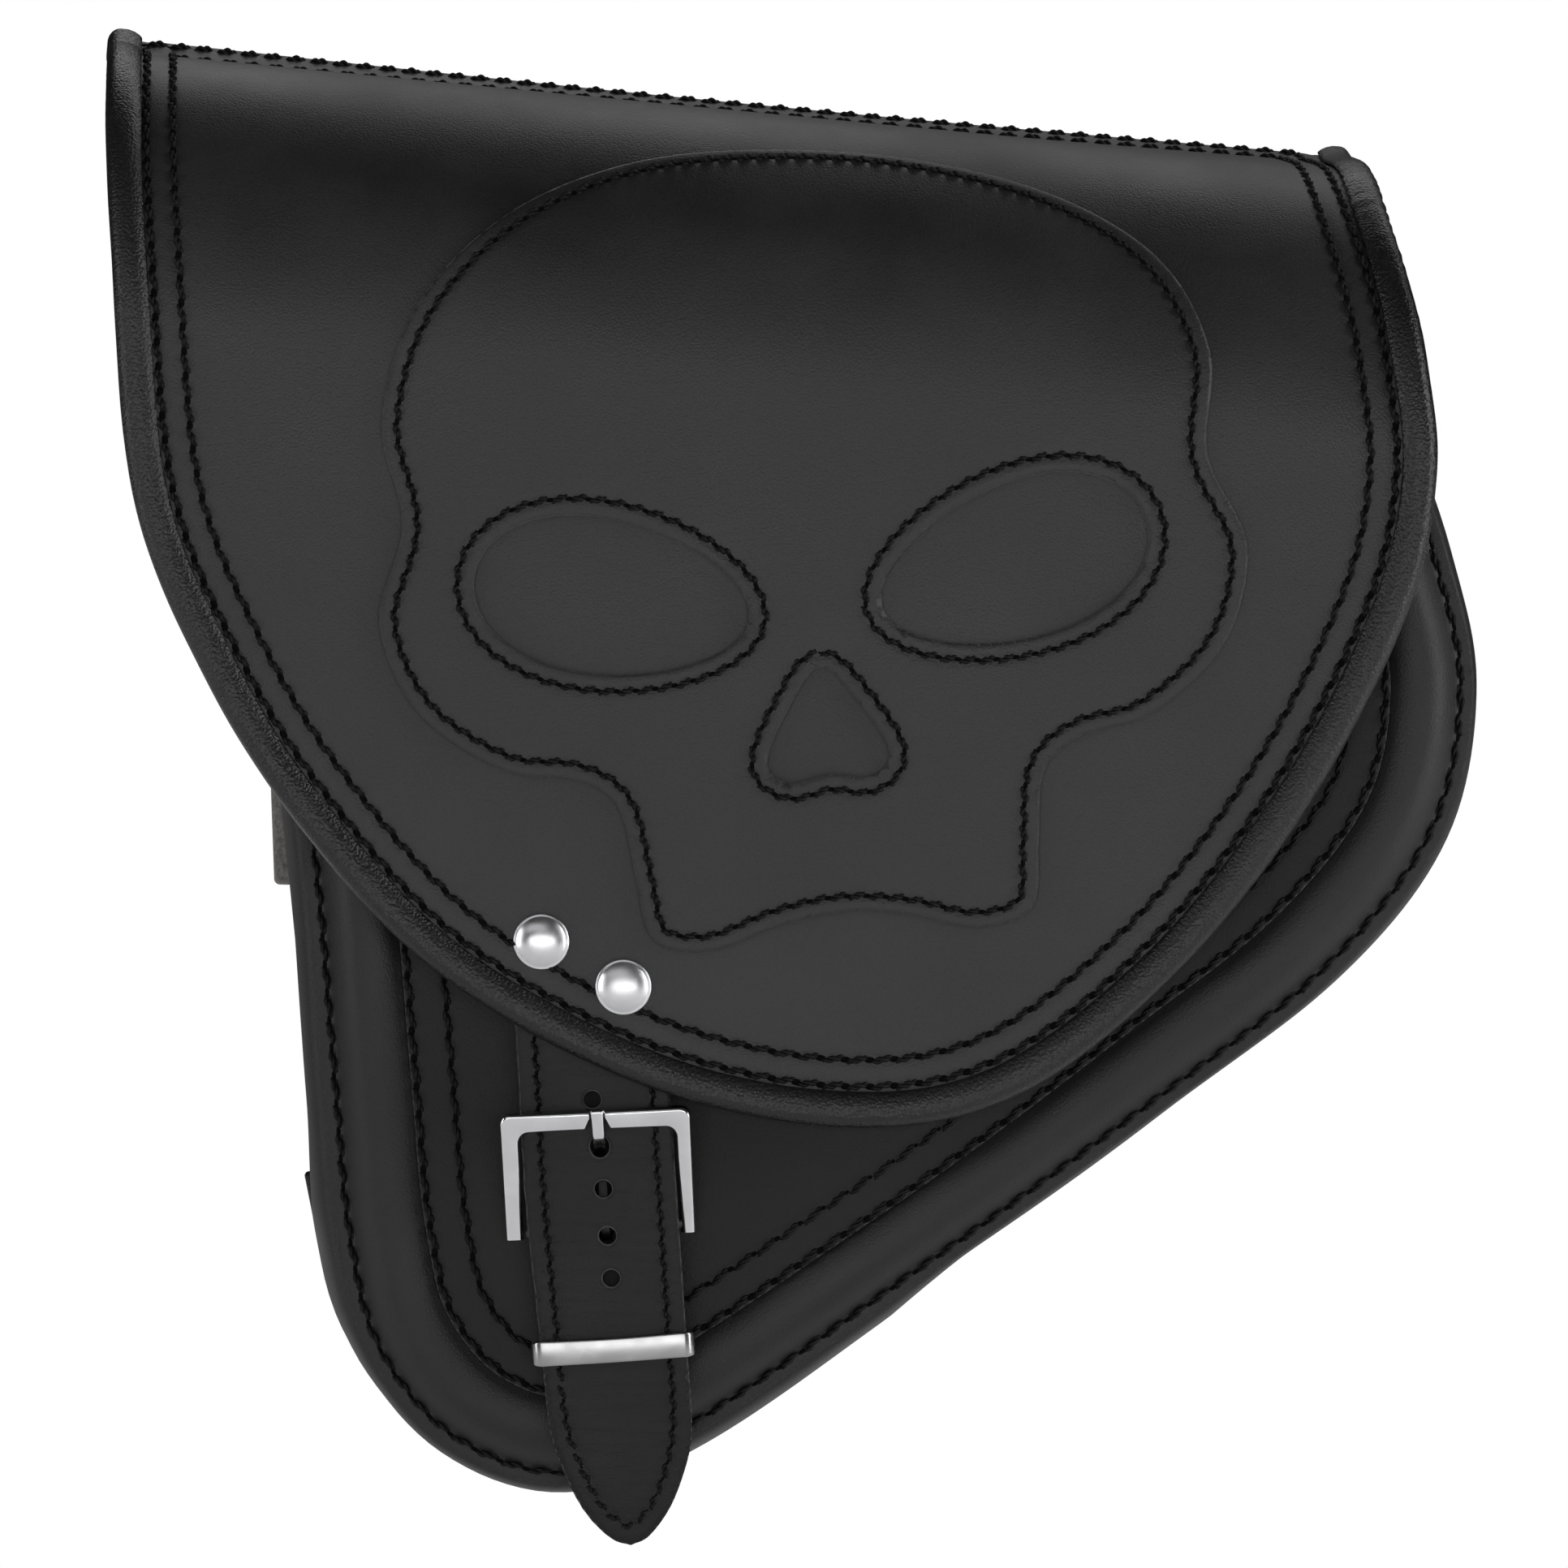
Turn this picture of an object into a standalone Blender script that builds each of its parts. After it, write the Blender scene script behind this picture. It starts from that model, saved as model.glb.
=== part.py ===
"""Leather motorcycle saddlebag with a rounded lid, one buckled strap and two mounting straps.

World frame: +X to the bag's right as seen from the front, +Z up, the front faces -Y.
Sizes below are millimetres in drawing coordinates, where Y = 0 is the outer face of the back panel.
The finished assembly is moved so that the middle of the upper mounting strap's flat face is the origin.
"""
import math

import bmesh
import bpy
from mathutils import Matrix, Vector

MM = 0.001
GAP = 0.3

# Lid: a sheet that starts at the hinge line, runs forward, bends down and hangs over the front.
TOP_SLOPE = math.radians(5.5)
HINGE_LEFT = Vector((-169.6, 0.0, 375.0))
LID_THICKNESS = 3.5
LID_SHELF = 38.7
LID_SHELF_DROP = math.radians(10.0)
LID_BEND_RADIUS = 74.0
LID_BEND_TURN = math.radians(90.0) - LID_SHELF_DROP
# Outer edge of the binding in the lid's flat pattern: along the hinge line, and down the sheet.
LID_EDGE = (
    (-10, 0), (-2, 76), (6, 128), (17, 186), (37, 226), (64, 262), (104.6, 298.2), (158.3, 321.5), (210, 327.6),
    (252, 316.5), (290, 282), (320, 236), (340, 186), (344.5, 150), (339, 118), (327, 67), (321.6, 0),
)
BINDING_LIP = 2.0
# Binding section: outward from the lid's cut edge, and outward from its face.
BINDING_SECTION = (
    (-7.2, 0.3), (0.3, 0.3), (0.3, -3.8), (-7.2, -3.8), (-7.2, -4.5), (-5.0, -5.0), (-1.4, -5.0), (0.9, -3.8),
    (2.0, -1.2), (1.2, 1.2), (-0.8, 2.4), (-3.2, 2.5), (-5.6, 1.9), (-7.0, 1.0),
)

# Body outline at the seam, from the top left corner round the bottom to the top right corner (x, z).
BODY_EDGE = (
    (-146.5, 364.7), (-138.5, 292), (-131, 220), (-122.7, 155), (-117.9, 100), (-114.2, 62), (-106.3, 32),
    (-86, 8), (-56, -1.6), (-22, 11.5), (40, 54), (96, 94), (140, 128), (168, 164), (176, 202), (169, 237),
    (154, 282), (138, 337.3),
)
BODY_FRONT = 83.8
BACK_THICKNESS = 3.5
BACK_TOP_BELOW_HINGE = 8.0
FRONT_TOP_BELOW_HINGE = 88.0
# Padded border of the front panel: distance in from the seam, and height over the overlay's face.
BORDER_SECTION = (
    (0, -7.1), (3.7, -7.0), (5.6, -4.8), (8, -1.6), (11, 0.9), (14.5, 1.7), (18, 0.9), (20.4, -0.8),
    (22.3, -2.6), (27, -2.6),
)
FRONT_THICKNESS = 2.4
OVERLAY_INSET = 23.0
OVERLAY_THICKNESS = 2.3
# Gusset section: distance in from the seam line, and Y.
GUSSET_SECTION = (
    (9, -74), (2, -74), (-2, -71), (-4.4, -59), (-5, -38), (-4.2, -17), (-2, -7), (2, -3.9), (9, -3.9),
    (9, -6.3), (2.6, -6.3), (0.3, -9), (-2.4, -26), (-2.4, -50), (0.3, -68.6), (2.6, -71.6), (9, -71.6),
)
# The gusset's wall bulges less by this much on the bag's right, where the body tapers.
GUSSET_FLATTER_RIGHT = 2.4
BOARD_INSET = 14.0
BOARD_THICKNESS = 2.5

# Hinge strip: one leg under the lid's rear edge, the other on the back panel.
HINGE_STRIP_THICKNESS = 2.5
HINGE_STRIP_ALONG = (24.0, 300.0)
HINGE_LEG_LID = (1.0, 14.0)
HINGE_LEG_BACK = (8.5, 33.0)

# Appliqué, a plain skull: right half of the outline about its nose, across and up.
SKULL_CENTRE = (196.8, 227.3)
SKULL_TURN = math.radians(10.5)
SKULL_HALF = (
    (0, 157), (34, 153), (68, 138), (94, 114), (105, 86), (102, 60), (110, 36), (102, 12), (82, -4), (64, -8),
    (54, -16), (51, -34), (48, -50), (34, -54), (16, -49), (0, -47),
)
SKULL_EYE_CENTRE = (51.0, 37.0)
SKULL_EYE_RADII = (35.0, 19.5)
SKULL_EYE_TURN = math.radians(14.0)
SKULL_NOSE = ((0, 15), (9, 5), (15.5, -8), (10, -13.5), (0, -12), (-10, -13.5), (-15.5, -8), (-9, 5))
SKULL_THICKNESS = 1.7

# Closing strap. Its own frame: across, up along the strap from the buckle's heel bar, out of the bag.
STRAP_ORIGIN = Vector((-45.3, -BODY_FRONT, 64.7))
STRAP_LEAN = math.radians(3.8)
STRAP_WIDTH = 37.4
STRAP_BACK = 7.2
STRAP_FRONT = 10.2
STRAP_PLY_SPLIT = (8.3, 8.6)
STRAP_TOP = 86.9
STRAP_FLEX = 29.0
STRAP_FLEX_OUT = 11.7
STRAP_TAPER = -49.2
STRAP_TIP = -80.3
STRAP_TIP_ASIDE = 1.2
# The strap's left edge is cut unevenly: height along the strap, and how far right it lies of true.
STRAP_LEFT_EDGE = ((-75, 0.8), (-58, 1.6), (-42, 1.0), (-20, 0.1), (0, -0.8), (14, -1.1), (28.8, -0.9))
STRAP_HOLES = ((-1.1, 33.0), (0.2, 10.2), (0.5, -1.7), (0.7, -12.5))
STRAP_HOLE_RADIUS = 2.2
PRONG_HOLE = (14.6, 23.6)
RIVETS = ((-11.1, 73.9), (8.8, 61.1))
RIVET_CAP_RADIUS = 7.15
RIVET_SHANK_RADIUS = 1.6

# Buckle and what it hangs on.
HEEL_OUT = 3.6
HEEL_RADIUS = 1.5
BUCKLE_TILT = math.radians(17.8)
BUCKLE_SKEW = math.radians(1.3)
BUCKLE_ASIDE = -1.3
BUCKLE_WIDTH = 48.2
BUCKLE_BAR = 5.0
# The left arm is a little broader than the right one.
BUCKLE_ARMS = (4.5, 3.7)
BUCKLE_BENDS = (2.4, 3.0)
BUCKLE_THICKNESS = 3.0
BUCKLE_TOP = 32.0
BUCKLE_FOOT = -1.6
CHAPE_WIDTH = 30.0
CHAPE_THICKNESS = 1.5
CHAPE_END = -22.0
PRONG_THICKNESS = 1.6
PRONG_WIDTH = 3.0
SNAP_DOWN = -14.0
KEEPER_UP = -30.3
KEEPER_HEIGHT = 6.6
KEEPER_THICKNESS = 1.5

# Mounting straps on the back: height of the middle, and how far left the loop reaches.
MOUNTS = (("upper_mount", 165.0, -131.0), ("lower_mount", 60.0, -121.5))
MOUNT_WIDTH = 26.0
MOUNT_THICKNESS = 3.0
MOUNT_LOOP_RADIUS = 4.2
MOUNT_POSTS = (-38.0, -18.0)
MOUNT_END = -6.0
POST_RADIUS = 2.0
MOUNT_FACE = Vector((-100.0, GAP + 2 * MOUNT_LOOP_RADIUS + MOUNT_THICKNESS, 165.0))

LEATHER = (0.028, 0.028, 0.03, 1.0)
BINDING = (0.035, 0.034, 0.036, 1.0)
CHROME = (0.8, 0.8, 0.82, 1.0)
STEEL = (0.55, 0.56, 0.58, 1.0)
BOARD = (0.09, 0.075, 0.06, 1.0)


# ---------------------------------------------------------------- scene

def clear():
    for thing in list(bpy.data.objects):
        bpy.data.objects.remove(thing, do_unlink=True)


def collection(name):
    made = bpy.data.collections.new(name)
    bpy.context.scene.collection.children.link(made)
    return made


def material(name, colour, metallic, roughness):
    made = bpy.data.materials.new(name)
    made.use_nodes = True
    shader = made.node_tree.nodes["Principled BSDF"]
    shader.inputs["Base Color"].default_value = colour
    shader.inputs["Metallic"].default_value = metallic
    shader.inputs["Roughness"].default_value = roughness
    return made


clear()
PARTS = collection("motorcycle_saddlebag")
CUTTERS = collection("cutters")


def finish(name, mesh, colour=LEATHER, metallic=0.0, roughness=0.6, home=PARTS):
    """Put a mesh in the scene under its own name and material."""
    thing = bpy.data.objects.new(name, mesh)
    home.objects.link(thing)
    if home is PARTS:
        mesh.materials.append(material(name, colour, metallic, roughness))
    else:
        thing.hide_render = True
        thing.display_type = "WIRE"
    return thing


def tidy_mesh(work, name):
    """Weld what the tools left loose, face everything outwards and give back a mesh."""
    bmesh.ops.remove_doubles(work, verts=work.verts, dist=0.005 * MM)
    bmesh.ops.recalc_face_normals(work, faces=work.faces)
    mesh = bpy.data.meshes.new(name)
    work.to_mesh(mesh)
    work.free()
    return mesh


def smooth_shade(thing, angle=math.radians(35)):
    """Shade round faces smooth and keep edges sharper than the angle."""
    work = bmesh.new()
    work.from_mesh(thing.data)
    for face in work.faces:
        face.smooth = True
    for edge in work.edges:
        edge.smooth = len(edge.link_faces) == 2 and edge.calc_face_angle(0.0) < angle
    work.to_mesh(thing.data)
    work.free()
    return thing


def set_origin(thing, point):
    """Move the origin to a world point without moving the mesh."""
    place = Vector(point) * MM
    thing.data.transform(Matrix.Translation(thing.location - place))
    thing.location = place
    return thing


# ---------------------------------------------------------------- outlines

def smooth(points, steps=5, closed=False):
    """Catmull-Rom curve through the points."""
    count = len(points)
    spans = count if closed else count - 1
    line = []
    for index in range(spans):
        around = [pick(points, index + shift, closed) for shift in (-1, 0, 1, 2)]
        for step in range(steps):
            line.append(catmull(around, step / steps))
    if not closed:
        line.append((float(points[-1][0]), float(points[-1][1])))
    return line


def pick(points, index, closed):
    count = len(points)
    if closed:
        return points[index % count]
    if index < 0:
        return mirror_end(points[0], points[1])
    if index >= count:
        return mirror_end(points[-1], points[-2])
    return points[index]


def mirror_end(end, inner):
    return (2 * end[0] - inner[0], 2 * end[1] - inner[1])


def catmull(around, part):
    result = []
    for axis in (0, 1):
        a, b, c, d = (float(point[axis]) for point in around)
        square = part * part
        value = 2 * b + (c - a) * part + (2 * a - 5 * b + 4 * c - d) * square
        value += (3 * b - a - 3 * c + d) * square * part
        result.append(value / 2)
    return tuple(result)


def normals(line, closed=False):
    """Unit normals to the left of the direction of travel."""
    count = len(line)
    result = []
    for index in range(count):
        before = line[(index - 1) % count] if closed or index > 0 else line[0]
        after = line[(index + 1) % count] if closed or index < count - 1 else line[-1]
        along = (after[0] - before[0], after[1] - before[1])
        length = math.hypot(*along)
        result.append((-along[1] / length, along[0] / length))
    return result


def offset(line, distance, closed=False):
    """Shift a line to its left."""
    shifted = []
    for point, normal in zip(line, normals(line, closed)):
        shifted.append((point[0] + normal[0] * distance, point[1] + normal[1] * distance))
    return shifted


def even(line, spacing):
    """The same open line with points at an even spacing."""
    runs = [0.0]
    for first, second in zip(line, line[1:]):
        runs.append(runs[-1] + math.dist(first, second))
    count = round(runs[-1] / spacing)
    result = [line[0]]
    place = 0
    for index in range(1, count):
        run = runs[-1] * index / count
        while runs[place + 1] < run:
            place += 1
        part = (run - runs[place]) / (runs[place + 1] - runs[place])
        first, second = line[place], line[place + 1]
        result.append((first[0] + (second[0] - first[0]) * part, first[1] + (second[1] - first[1]) * part))
    return result + [line[-1]]


def circle(centre, radius, count=32):
    turns = [2 * math.pi * index / count for index in range(count)]
    return [(centre[0] + radius * math.cos(turn), centre[1] + radius * math.sin(turn)) for turn in turns]


def arc(centre, radius, start, end, count=10):
    """Points on an arc, angles in degrees."""
    turns = [math.radians(start + (end - start) * index / count) for index in range(count + 1)]
    return [(centre[0] + radius * math.cos(turn), centre[1] + radius * math.sin(turn)) for turn in turns]


def slot(low, high, radius, count=10):
    """Obround standing upright between two heights."""
    top = arc((0, high - radius), radius, 0, 180, count)
    return top + arc((0, low + radius), radius, 180, 360, count)


def rounded_box(left, bottom, right, top, radius):
    corners = arc((right - radius, top - radius), radius, 0, 90, 6)
    corners += arc((left + radius, top - radius), radius, 90, 180, 6)
    corners += arc((left + radius, bottom + radius), radius, 180, 270, 6)
    return corners + arc((right - radius, bottom + radius), radius, 270, 360, 6)


def ribbon(line, thickness):
    """Closed outline of a strip with the given thickness to the left of the line."""
    return list(line) + list(reversed(offset(line, thickness)))


# ---------------------------------------------------------------- solids

def flat_mesh(outlines, low, high):
    """Solid plate from closed outlines; inner outlines become holes."""
    data = bpy.data.curves.new("outline", "CURVE")
    data.dimensions = "2D"
    data.fill_mode = "BOTH"
    data.extrude = (high - low) / 2 * MM
    data.render_resolution_u = 0
    for outline in outlines:
        spline = data.splines.new("POLY")
        spline.points.add(len(outline) - 1)
        for point, spot in zip(spline.points, outline):
            point.co = (spot[0] * MM, spot[1] * MM, 0.0, 1.0)
        spline.use_cyclic_u = True
    carrier = bpy.data.objects.new("outline", data)
    bpy.context.scene.collection.objects.link(carrier)
    graph = bpy.context.evaluated_depsgraph_get()
    mesh = bpy.data.meshes.new_from_object(carrier.evaluated_get(graph))
    bpy.data.objects.remove(carrier, do_unlink=True)
    mesh.transform(Matrix.Translation((0, 0, (low + high) / 2 * MM)))
    return mesh


def flat_piece(name, outlines, low, high, frame, **look):
    mesh = flat_mesh(outlines, low, high)
    mesh.transform(frame)
    work = bmesh.new()
    work.from_mesh(mesh)
    return finish(name, tidy_mesh(work, name), **look)


def swept_piece(name, stations, section, place, **look):
    """Bar whose closed section is placed at every station, with closed ends."""
    work = bmesh.new()
    last = len(stations) - 1
    around = len(section)
    bmesh.ops.create_grid(work, x_segments=last, y_segments=around, size=1.0)
    for vertex in work.verts:
        station = stations[round((vertex.co.x + 1) / 2 * last)]
        spot = section[round((vertex.co.y + 1) / 2 * around) % around]
        vertex.co = place(station, spot)
    bmesh.ops.remove_doubles(work, verts=work.verts, dist=0.005 * MM)
    rims = [edge for edge in work.edges if edge.is_boundary]
    bmesh.ops.holes_fill(work, edges=rims, sides=0)
    return finish(name, tidy_mesh(work, name), **look)


def turned_piece(name, profile, frame, **look):
    """Round piece about the frame's Z axis from a profile of radius and height."""
    work = bmesh.new()
    spots = [work.verts.new((radius * MM, 0, height * MM)) for radius, height in profile]
    for first, second in zip(spots, spots[1:]):
        work.edges.new((first, second))
    if profile[0][0] > 0:
        work.edges.new((spots[-1], spots[0]))
    bmesh.ops.spin(work, geom=work.verts[:] + work.edges[:], cent=(0, 0, 0), axis=(0, 0, 1),
                   angle=2 * math.pi, steps=22, use_merge=True)
    mesh = tidy_mesh(work, name)
    mesh.transform(frame)
    return smooth_shade(finish(name, mesh, **look))


def cut(thing, cutter, kind="DIFFERENCE"):
    change = thing.modifiers.new(cutter.name, "BOOLEAN")
    change.operation = kind
    change.solver = "EXACT"
    change.object = cutter


def bevel(thing, width, segments=2):
    change = thing.modifiers.new("edges", "BEVEL")
    change.width = width * MM
    change.segments = segments
    change.limit_method = "ANGLE"
    change.angle_limit = math.radians(40)


# ---------------------------------------------------------------- frames

# Local X, Y, Z become world X, Z, -Y: a drawing seen from the front.
FRONT = Matrix(((1, 0, 0, 0), (0, 0, -1, 0), (0, 1, 0, 0), (0, 0, 0, 1)))
ALONG = Vector((math.cos(TOP_SLOPE), 0, -math.sin(TOP_SLOPE)))
DOWN = Vector((-math.sin(TOP_SLOPE), 0, -math.cos(TOP_SLOPE)))
STRAP_FRAME = Matrix.Translation(STRAP_ORIGIN * MM) @ Matrix.Rotation(-STRAP_LEAN, 4, "Y") @ FRONT


def strap_point(across, up, out):
    return (STRAP_FRAME @ (Vector((across, up, out)) * MM)) / MM


def lid_profile(run):
    """Where the lid's outer face is after a run down the sheet, and which way it faces."""
    drop = LID_SHELF_DROP
    if run <= LID_SHELF:
        turn = drop
        forward = run * math.cos(drop)
        down = run * math.sin(drop)
    else:
        turn = min(drop + (run - LID_SHELF) / LID_BEND_RADIUS, math.pi / 2)
        forward = LID_SHELF * math.cos(drop) + LID_BEND_RADIUS * (math.sin(turn) - math.sin(drop))
        down = LID_SHELF * math.sin(drop) + LID_BEND_RADIUS * (math.cos(drop) - math.cos(turn))
        down += max(0.0, run - LID_SHELF - LID_BEND_RADIUS * LID_BEND_TURN)
    return forward, down, turn


def drape(along, up, out):
    """Flat pattern of the lid to the world; up is minus the run from the hinge line."""
    forward, down, turn = lid_profile(-up)
    forward += out * math.sin(turn)
    down -= out * math.cos(turn)
    return (HINGE_LEFT + ALONG * along + DOWN * down + Vector((0, -forward, 0))) * MM


def bend_levels(step=6.0):
    """Runs at which a sheet is divided so that it can bend."""
    length = LID_BEND_RADIUS * LID_BEND_TURN
    count = round(length / step)
    return [LID_SHELF + length * index / count for index in range(count + 1)]


def draped_piece(name, outlines, low, high, **look):
    """Flat pattern cut out, divided across the bend and laid on the lid."""
    work = bmesh.new()
    work.from_mesh(flat_mesh(outlines, low, high))
    bmesh.ops.remove_doubles(work, verts=work.verts, dist=0.005 * MM)
    for run in bend_levels():
        everything = work.verts[:] + work.edges[:] + work.faces[:]
        bmesh.ops.bisect_plane(work, geom=everything, plane_co=(0, -run * MM, 0), plane_no=(0, 1, 0),
                               dist=0.001 * MM)
    for vertex in work.verts:
        vertex.co = drape(vertex.co.x / MM, vertex.co.y / MM, vertex.co.z / MM)
    return smooth_shade(finish(name, tidy_mesh(work, name), **look))


# ---------------------------------------------------------------- body

def body_line():
    return even(smooth(BODY_EDGE, 8), 12.5)


def mouth_cutter():
    """Prism over the bag's mouth: level behind the front panel, then rising to the back."""
    rise = []
    for index in range(9):
        part = index / 8
        forward = 74 * (1 - part) ** 2 + 2 * 70 * part * (1 - part) + 40 * part ** 2
        down = FRONT_TOP_BELOW_HINGE * (1 - part) ** 2 + 2 * 42 * part * (1 - part) + 30 * part ** 2
        rise.append((forward, down))
    profile = [(130, FRONT_TOP_BELOW_HINGE)] + rise + [(-20, 16), (-20, -60), (130, -60)]
    ends = (-60.0, 400.0)

    def place(along, spot):
        return (HINGE_LEFT + ALONG * along + DOWN * spot[1] + Vector((0, -spot[0], 0))) * MM

    return swept_piece("mouth_cutter", ends, profile, place, home=CUTTERS)


def post_holes(radius):
    return [circle((x, height), radius, 20) for name, height, left in MOUNTS for x in MOUNT_POSTS]


def back_panel():
    outline = body_line()
    flat_piece("back_panel", [outline] + post_holes(POST_RADIUS + GAP), 0, BACK_THICKNESS, FRONT)


def back_board():
    line = [spot for spot in offset(body_line(), BOARD_INSET) if spot[1] < 330]
    low = BACK_THICKNESS + GAP
    flat_piece("back_board", [line] + post_holes(6.5), low, low + BOARD_THICKNESS, FRONT,
               colour=BOARD, roughness=0.8)


def gusset(mouth):
    line = body_line()
    sides = normals(line)

    def place(index, spot):
        point, side = line[index], sides[index]
        rightward = min(1.0, max(0.0, (point[0] + 60) / 120))
        inset = spot[0] + GUSSET_FLATTER_RIGHT * rightward * math.sin(-math.pi * spot[1] / BODY_FRONT)
        return Vector((point[0] + side[0] * inset, spot[1], point[1] + side[1] * inset)) * MM

    thing = swept_piece("gusset", range(len(line)), GUSSET_SECTION, place)
    smooth_shade(thing)
    cut(thing, mouth)


def front_panel(mouth):
    """Padded border made as a band, closed by one flat face in the middle, then thickened."""
    line = body_line()
    sides = normals(line)
    rings = BORDER_SECTION
    work = bmesh.new()
    last, inner = len(line) - 1, len(rings) - 1
    bmesh.ops.create_grid(work, x_segments=last, y_segments=inner, size=1.0)
    centre = []
    for vertex in work.verts:
        index = round((vertex.co.x + 1) / 2 * last)
        ring = round((vertex.co.y + 1) / 2 * inner)
        point, side, (inset, out) = line[index], sides[index], rings[ring]
        vertex.co = Vector((point[0] + side[0] * inset, -BODY_FRONT - out, point[1] + side[1] * inset)) * MM
        if ring == inner:
            centre.append((index, vertex))
    centre.sort(key=lambda item: item[0])
    work.faces.new([vertex for index, vertex in centre])
    bmesh.ops.recalc_face_normals(work, faces=work.faces)
    if sum(face.normal.y * face.calc_area() for face in work.faces) > 0:
        bmesh.ops.reverse_faces(work, faces=work.faces)
    mesh = bpy.data.meshes.new("front_panel")
    work.to_mesh(mesh)
    work.free()
    thing = smooth_shade(finish("front_panel", mesh))
    shell = thing.modifiers.new("leather", "SOLIDIFY")
    shell.thickness = FRONT_THICKNESS * MM
    shell.offset = -1.0
    cut(thing, mouth)


def front_overlay(mouth):
    line = offset(body_line(), OVERLAY_INSET)
    thing = flat_piece("front_overlay", [line], BODY_FRONT - OVERLAY_THICKNESS, BODY_FRONT, FRONT)
    cut(thing, mouth)


def front_hem():
    """Leather channel over the top edge of the front panel and its overlay."""
    skin = 1.2
    top = FRONT_TOP_BELOW_HINGE - GAP
    outer, inner = GAP, -OVERLAY_THICKNESS - GAP - FRONT_THICKNESS - GAP
    legs = [(outer, top + 11), (outer, top), (inner, top), (inner, top + 11)]
    legs += [(inner - skin, top + 11), (inner - skin, top - skin), (outer + skin, top - skin)]
    legs += [(outer + skin, top + 11)]

    def place(along, spot):
        return (HINGE_LEFT + ALONG * along + DOWN * spot[1] + Vector((0, -BODY_FRONT - spot[0], 0))) * MM

    swept_piece("front_hem", (62.0, 292.0), legs, place)


def hinge_strips():
    left, right = HINGE_STRIP_ALONG
    near, far = HINGE_LEG_BACK
    frame = Matrix.Translation(HINGE_LEFT * MM) @ Matrix.Rotation(TOP_SLOPE, 4, "Y") @ FRONT
    leg = rounded_box(left, -far, right, -near, 3.0)
    flat_piece("hinge_strip_back", [leg], -GAP - HINGE_STRIP_THICKNESS, -GAP, frame)
    near, far = HINGE_LEG_LID
    leg = rounded_box(left, -far, right, -near, 3.0)
    top = -LID_THICKNESS - GAP
    set_origin(draped_piece("hinge_strip_lid", [leg], top - HINGE_STRIP_THICKNESS, top), HINGE_LEFT)


def mounting_straps():
    for name, height, left in MOUNTS:
        frame = Matrix.Translation((0, 0, height * MM))
        inner = GAP
        outer = inner + 2 * MOUNT_LOOP_RADIUS
        closed = inner + MOUNT_THICKNESS + GAP
        strip = mount_outline(left, inner, outer, closed)
        half = MOUNT_WIDTH / 2
        thing = flat_piece(name + "_strap", [strip], -half, half, frame)
        smooth_shade(thing, math.radians(30))
        for order, x in enumerate(MOUNT_POSTS, 1):
            drill_mount(thing, name, order, x, height)
            mount_post("%s_post_%d" % (name, order), x, height, closed + MOUNT_THICKNESS)


def mount_outline(left, inner, outer, closed):
    """Side view of a loop: its inside line and, one thickness away, its outside line."""
    radius = MOUNT_LOOP_RADIUS
    thick = MOUNT_THICKNESS
    middle = inner + radius + thick / 2
    near = [(MOUNT_END, inner + thick), (left, inner + thick)]
    near += arc((left, middle), radius - thick / 2, 270, 90, 6)[1:-1]
    near += [(left, outer), (left + 58, outer), (left + 63, outer - 0.5), (left + 74, closed + 0.5)]
    near += [(left + 79, closed), (MOUNT_END, closed)]
    far = [(MOUNT_END, closed + thick), (left + 80, closed + thick), (left + 75, closed + thick + 0.5)]
    far += [(left + 64, outer + thick - 0.5), (left + 59, outer + thick), (left, outer + thick)]
    far += arc((left, middle), radius + thick / 2, 90, 270, 10)[1:-1]
    far += [(left, inner), (MOUNT_END, inner)]
    return near + far


def drill_mount(thing, name, order, x, height):
    frame = Matrix.Translation((x * MM, 20 * MM, height * MM)) @ FRONT
    rod = flat_piece("%s_drill_%d" % (name, order), [circle((0, 0), POST_RADIUS + GAP, 16)], 0, 24, frame,
                     home=CUTTERS)
    cut(thing, rod)


def mount_post(name, x, height, surface):
    """Screw post through the strap and back panel, with its nut inside the bag."""
    frame = Matrix.Translation((x * MM, 0, height * MM)) @ Matrix.Rotation(-math.pi / 2, 4, "X")
    head = surface + GAP
    inside = -BACK_THICKNESS - GAP
    profile = [(0, head + 1.9), (2.6, head + 1.7), (4.4, head + 1.0), (5.0, head)]
    profile += [(POST_RADIUS, head), (POST_RADIUS, inside - 0.9), (0, inside - 0.9)]
    turned_piece(name, profile, frame, colour=STEEL, metallic=1.0, roughness=0.3)
    hole = POST_RADIUS + 0.1
    nut = [(hole, inside), (5.0, inside), (5.0, inside - 0.9), (4.2, inside - 1.7), (hole, inside - 1.7)]
    turned_piece(name + "_nut", nut, frame, colour=STEEL, metallic=1.0, roughness=0.35)


# ---------------------------------------------------------------- lid

def lid_edge(inset):
    """Edge of the lid in its flat pattern, running up the page, set in from the binding's outside."""
    line = even(smooth([(along, -run) for along, run in LID_EDGE], 8), 10.0)
    inner = offset(line, inset)
    inner[0] = (inner[0][0], 0.0)
    inner[-1] = (inner[-1][0], 0.0)
    return inner


def pattern_point(across, up):
    """Strap coordinates to the lid's flat pattern, for places on the flat front."""
    spot = strap_point(across, up, 0) - HINGE_LEFT
    flat_start = LID_SHELF + LID_BEND_RADIUS * LID_BEND_TURN
    return spot.dot(ALONG), -(spot.dot(DOWN) - lid_profile(flat_start)[1] + flat_start)


def lid_leather():
    holes = [circle(pattern_point(*rivet), RIVET_SHANK_RADIUS + GAP, 20) for rivet in RIVETS]
    thing = draped_piece("lid_leather", [lid_edge(BINDING_LIP)] + holes, -LID_THICKNESS, 0)
    set_origin(thing, HINGE_LEFT)


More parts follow.
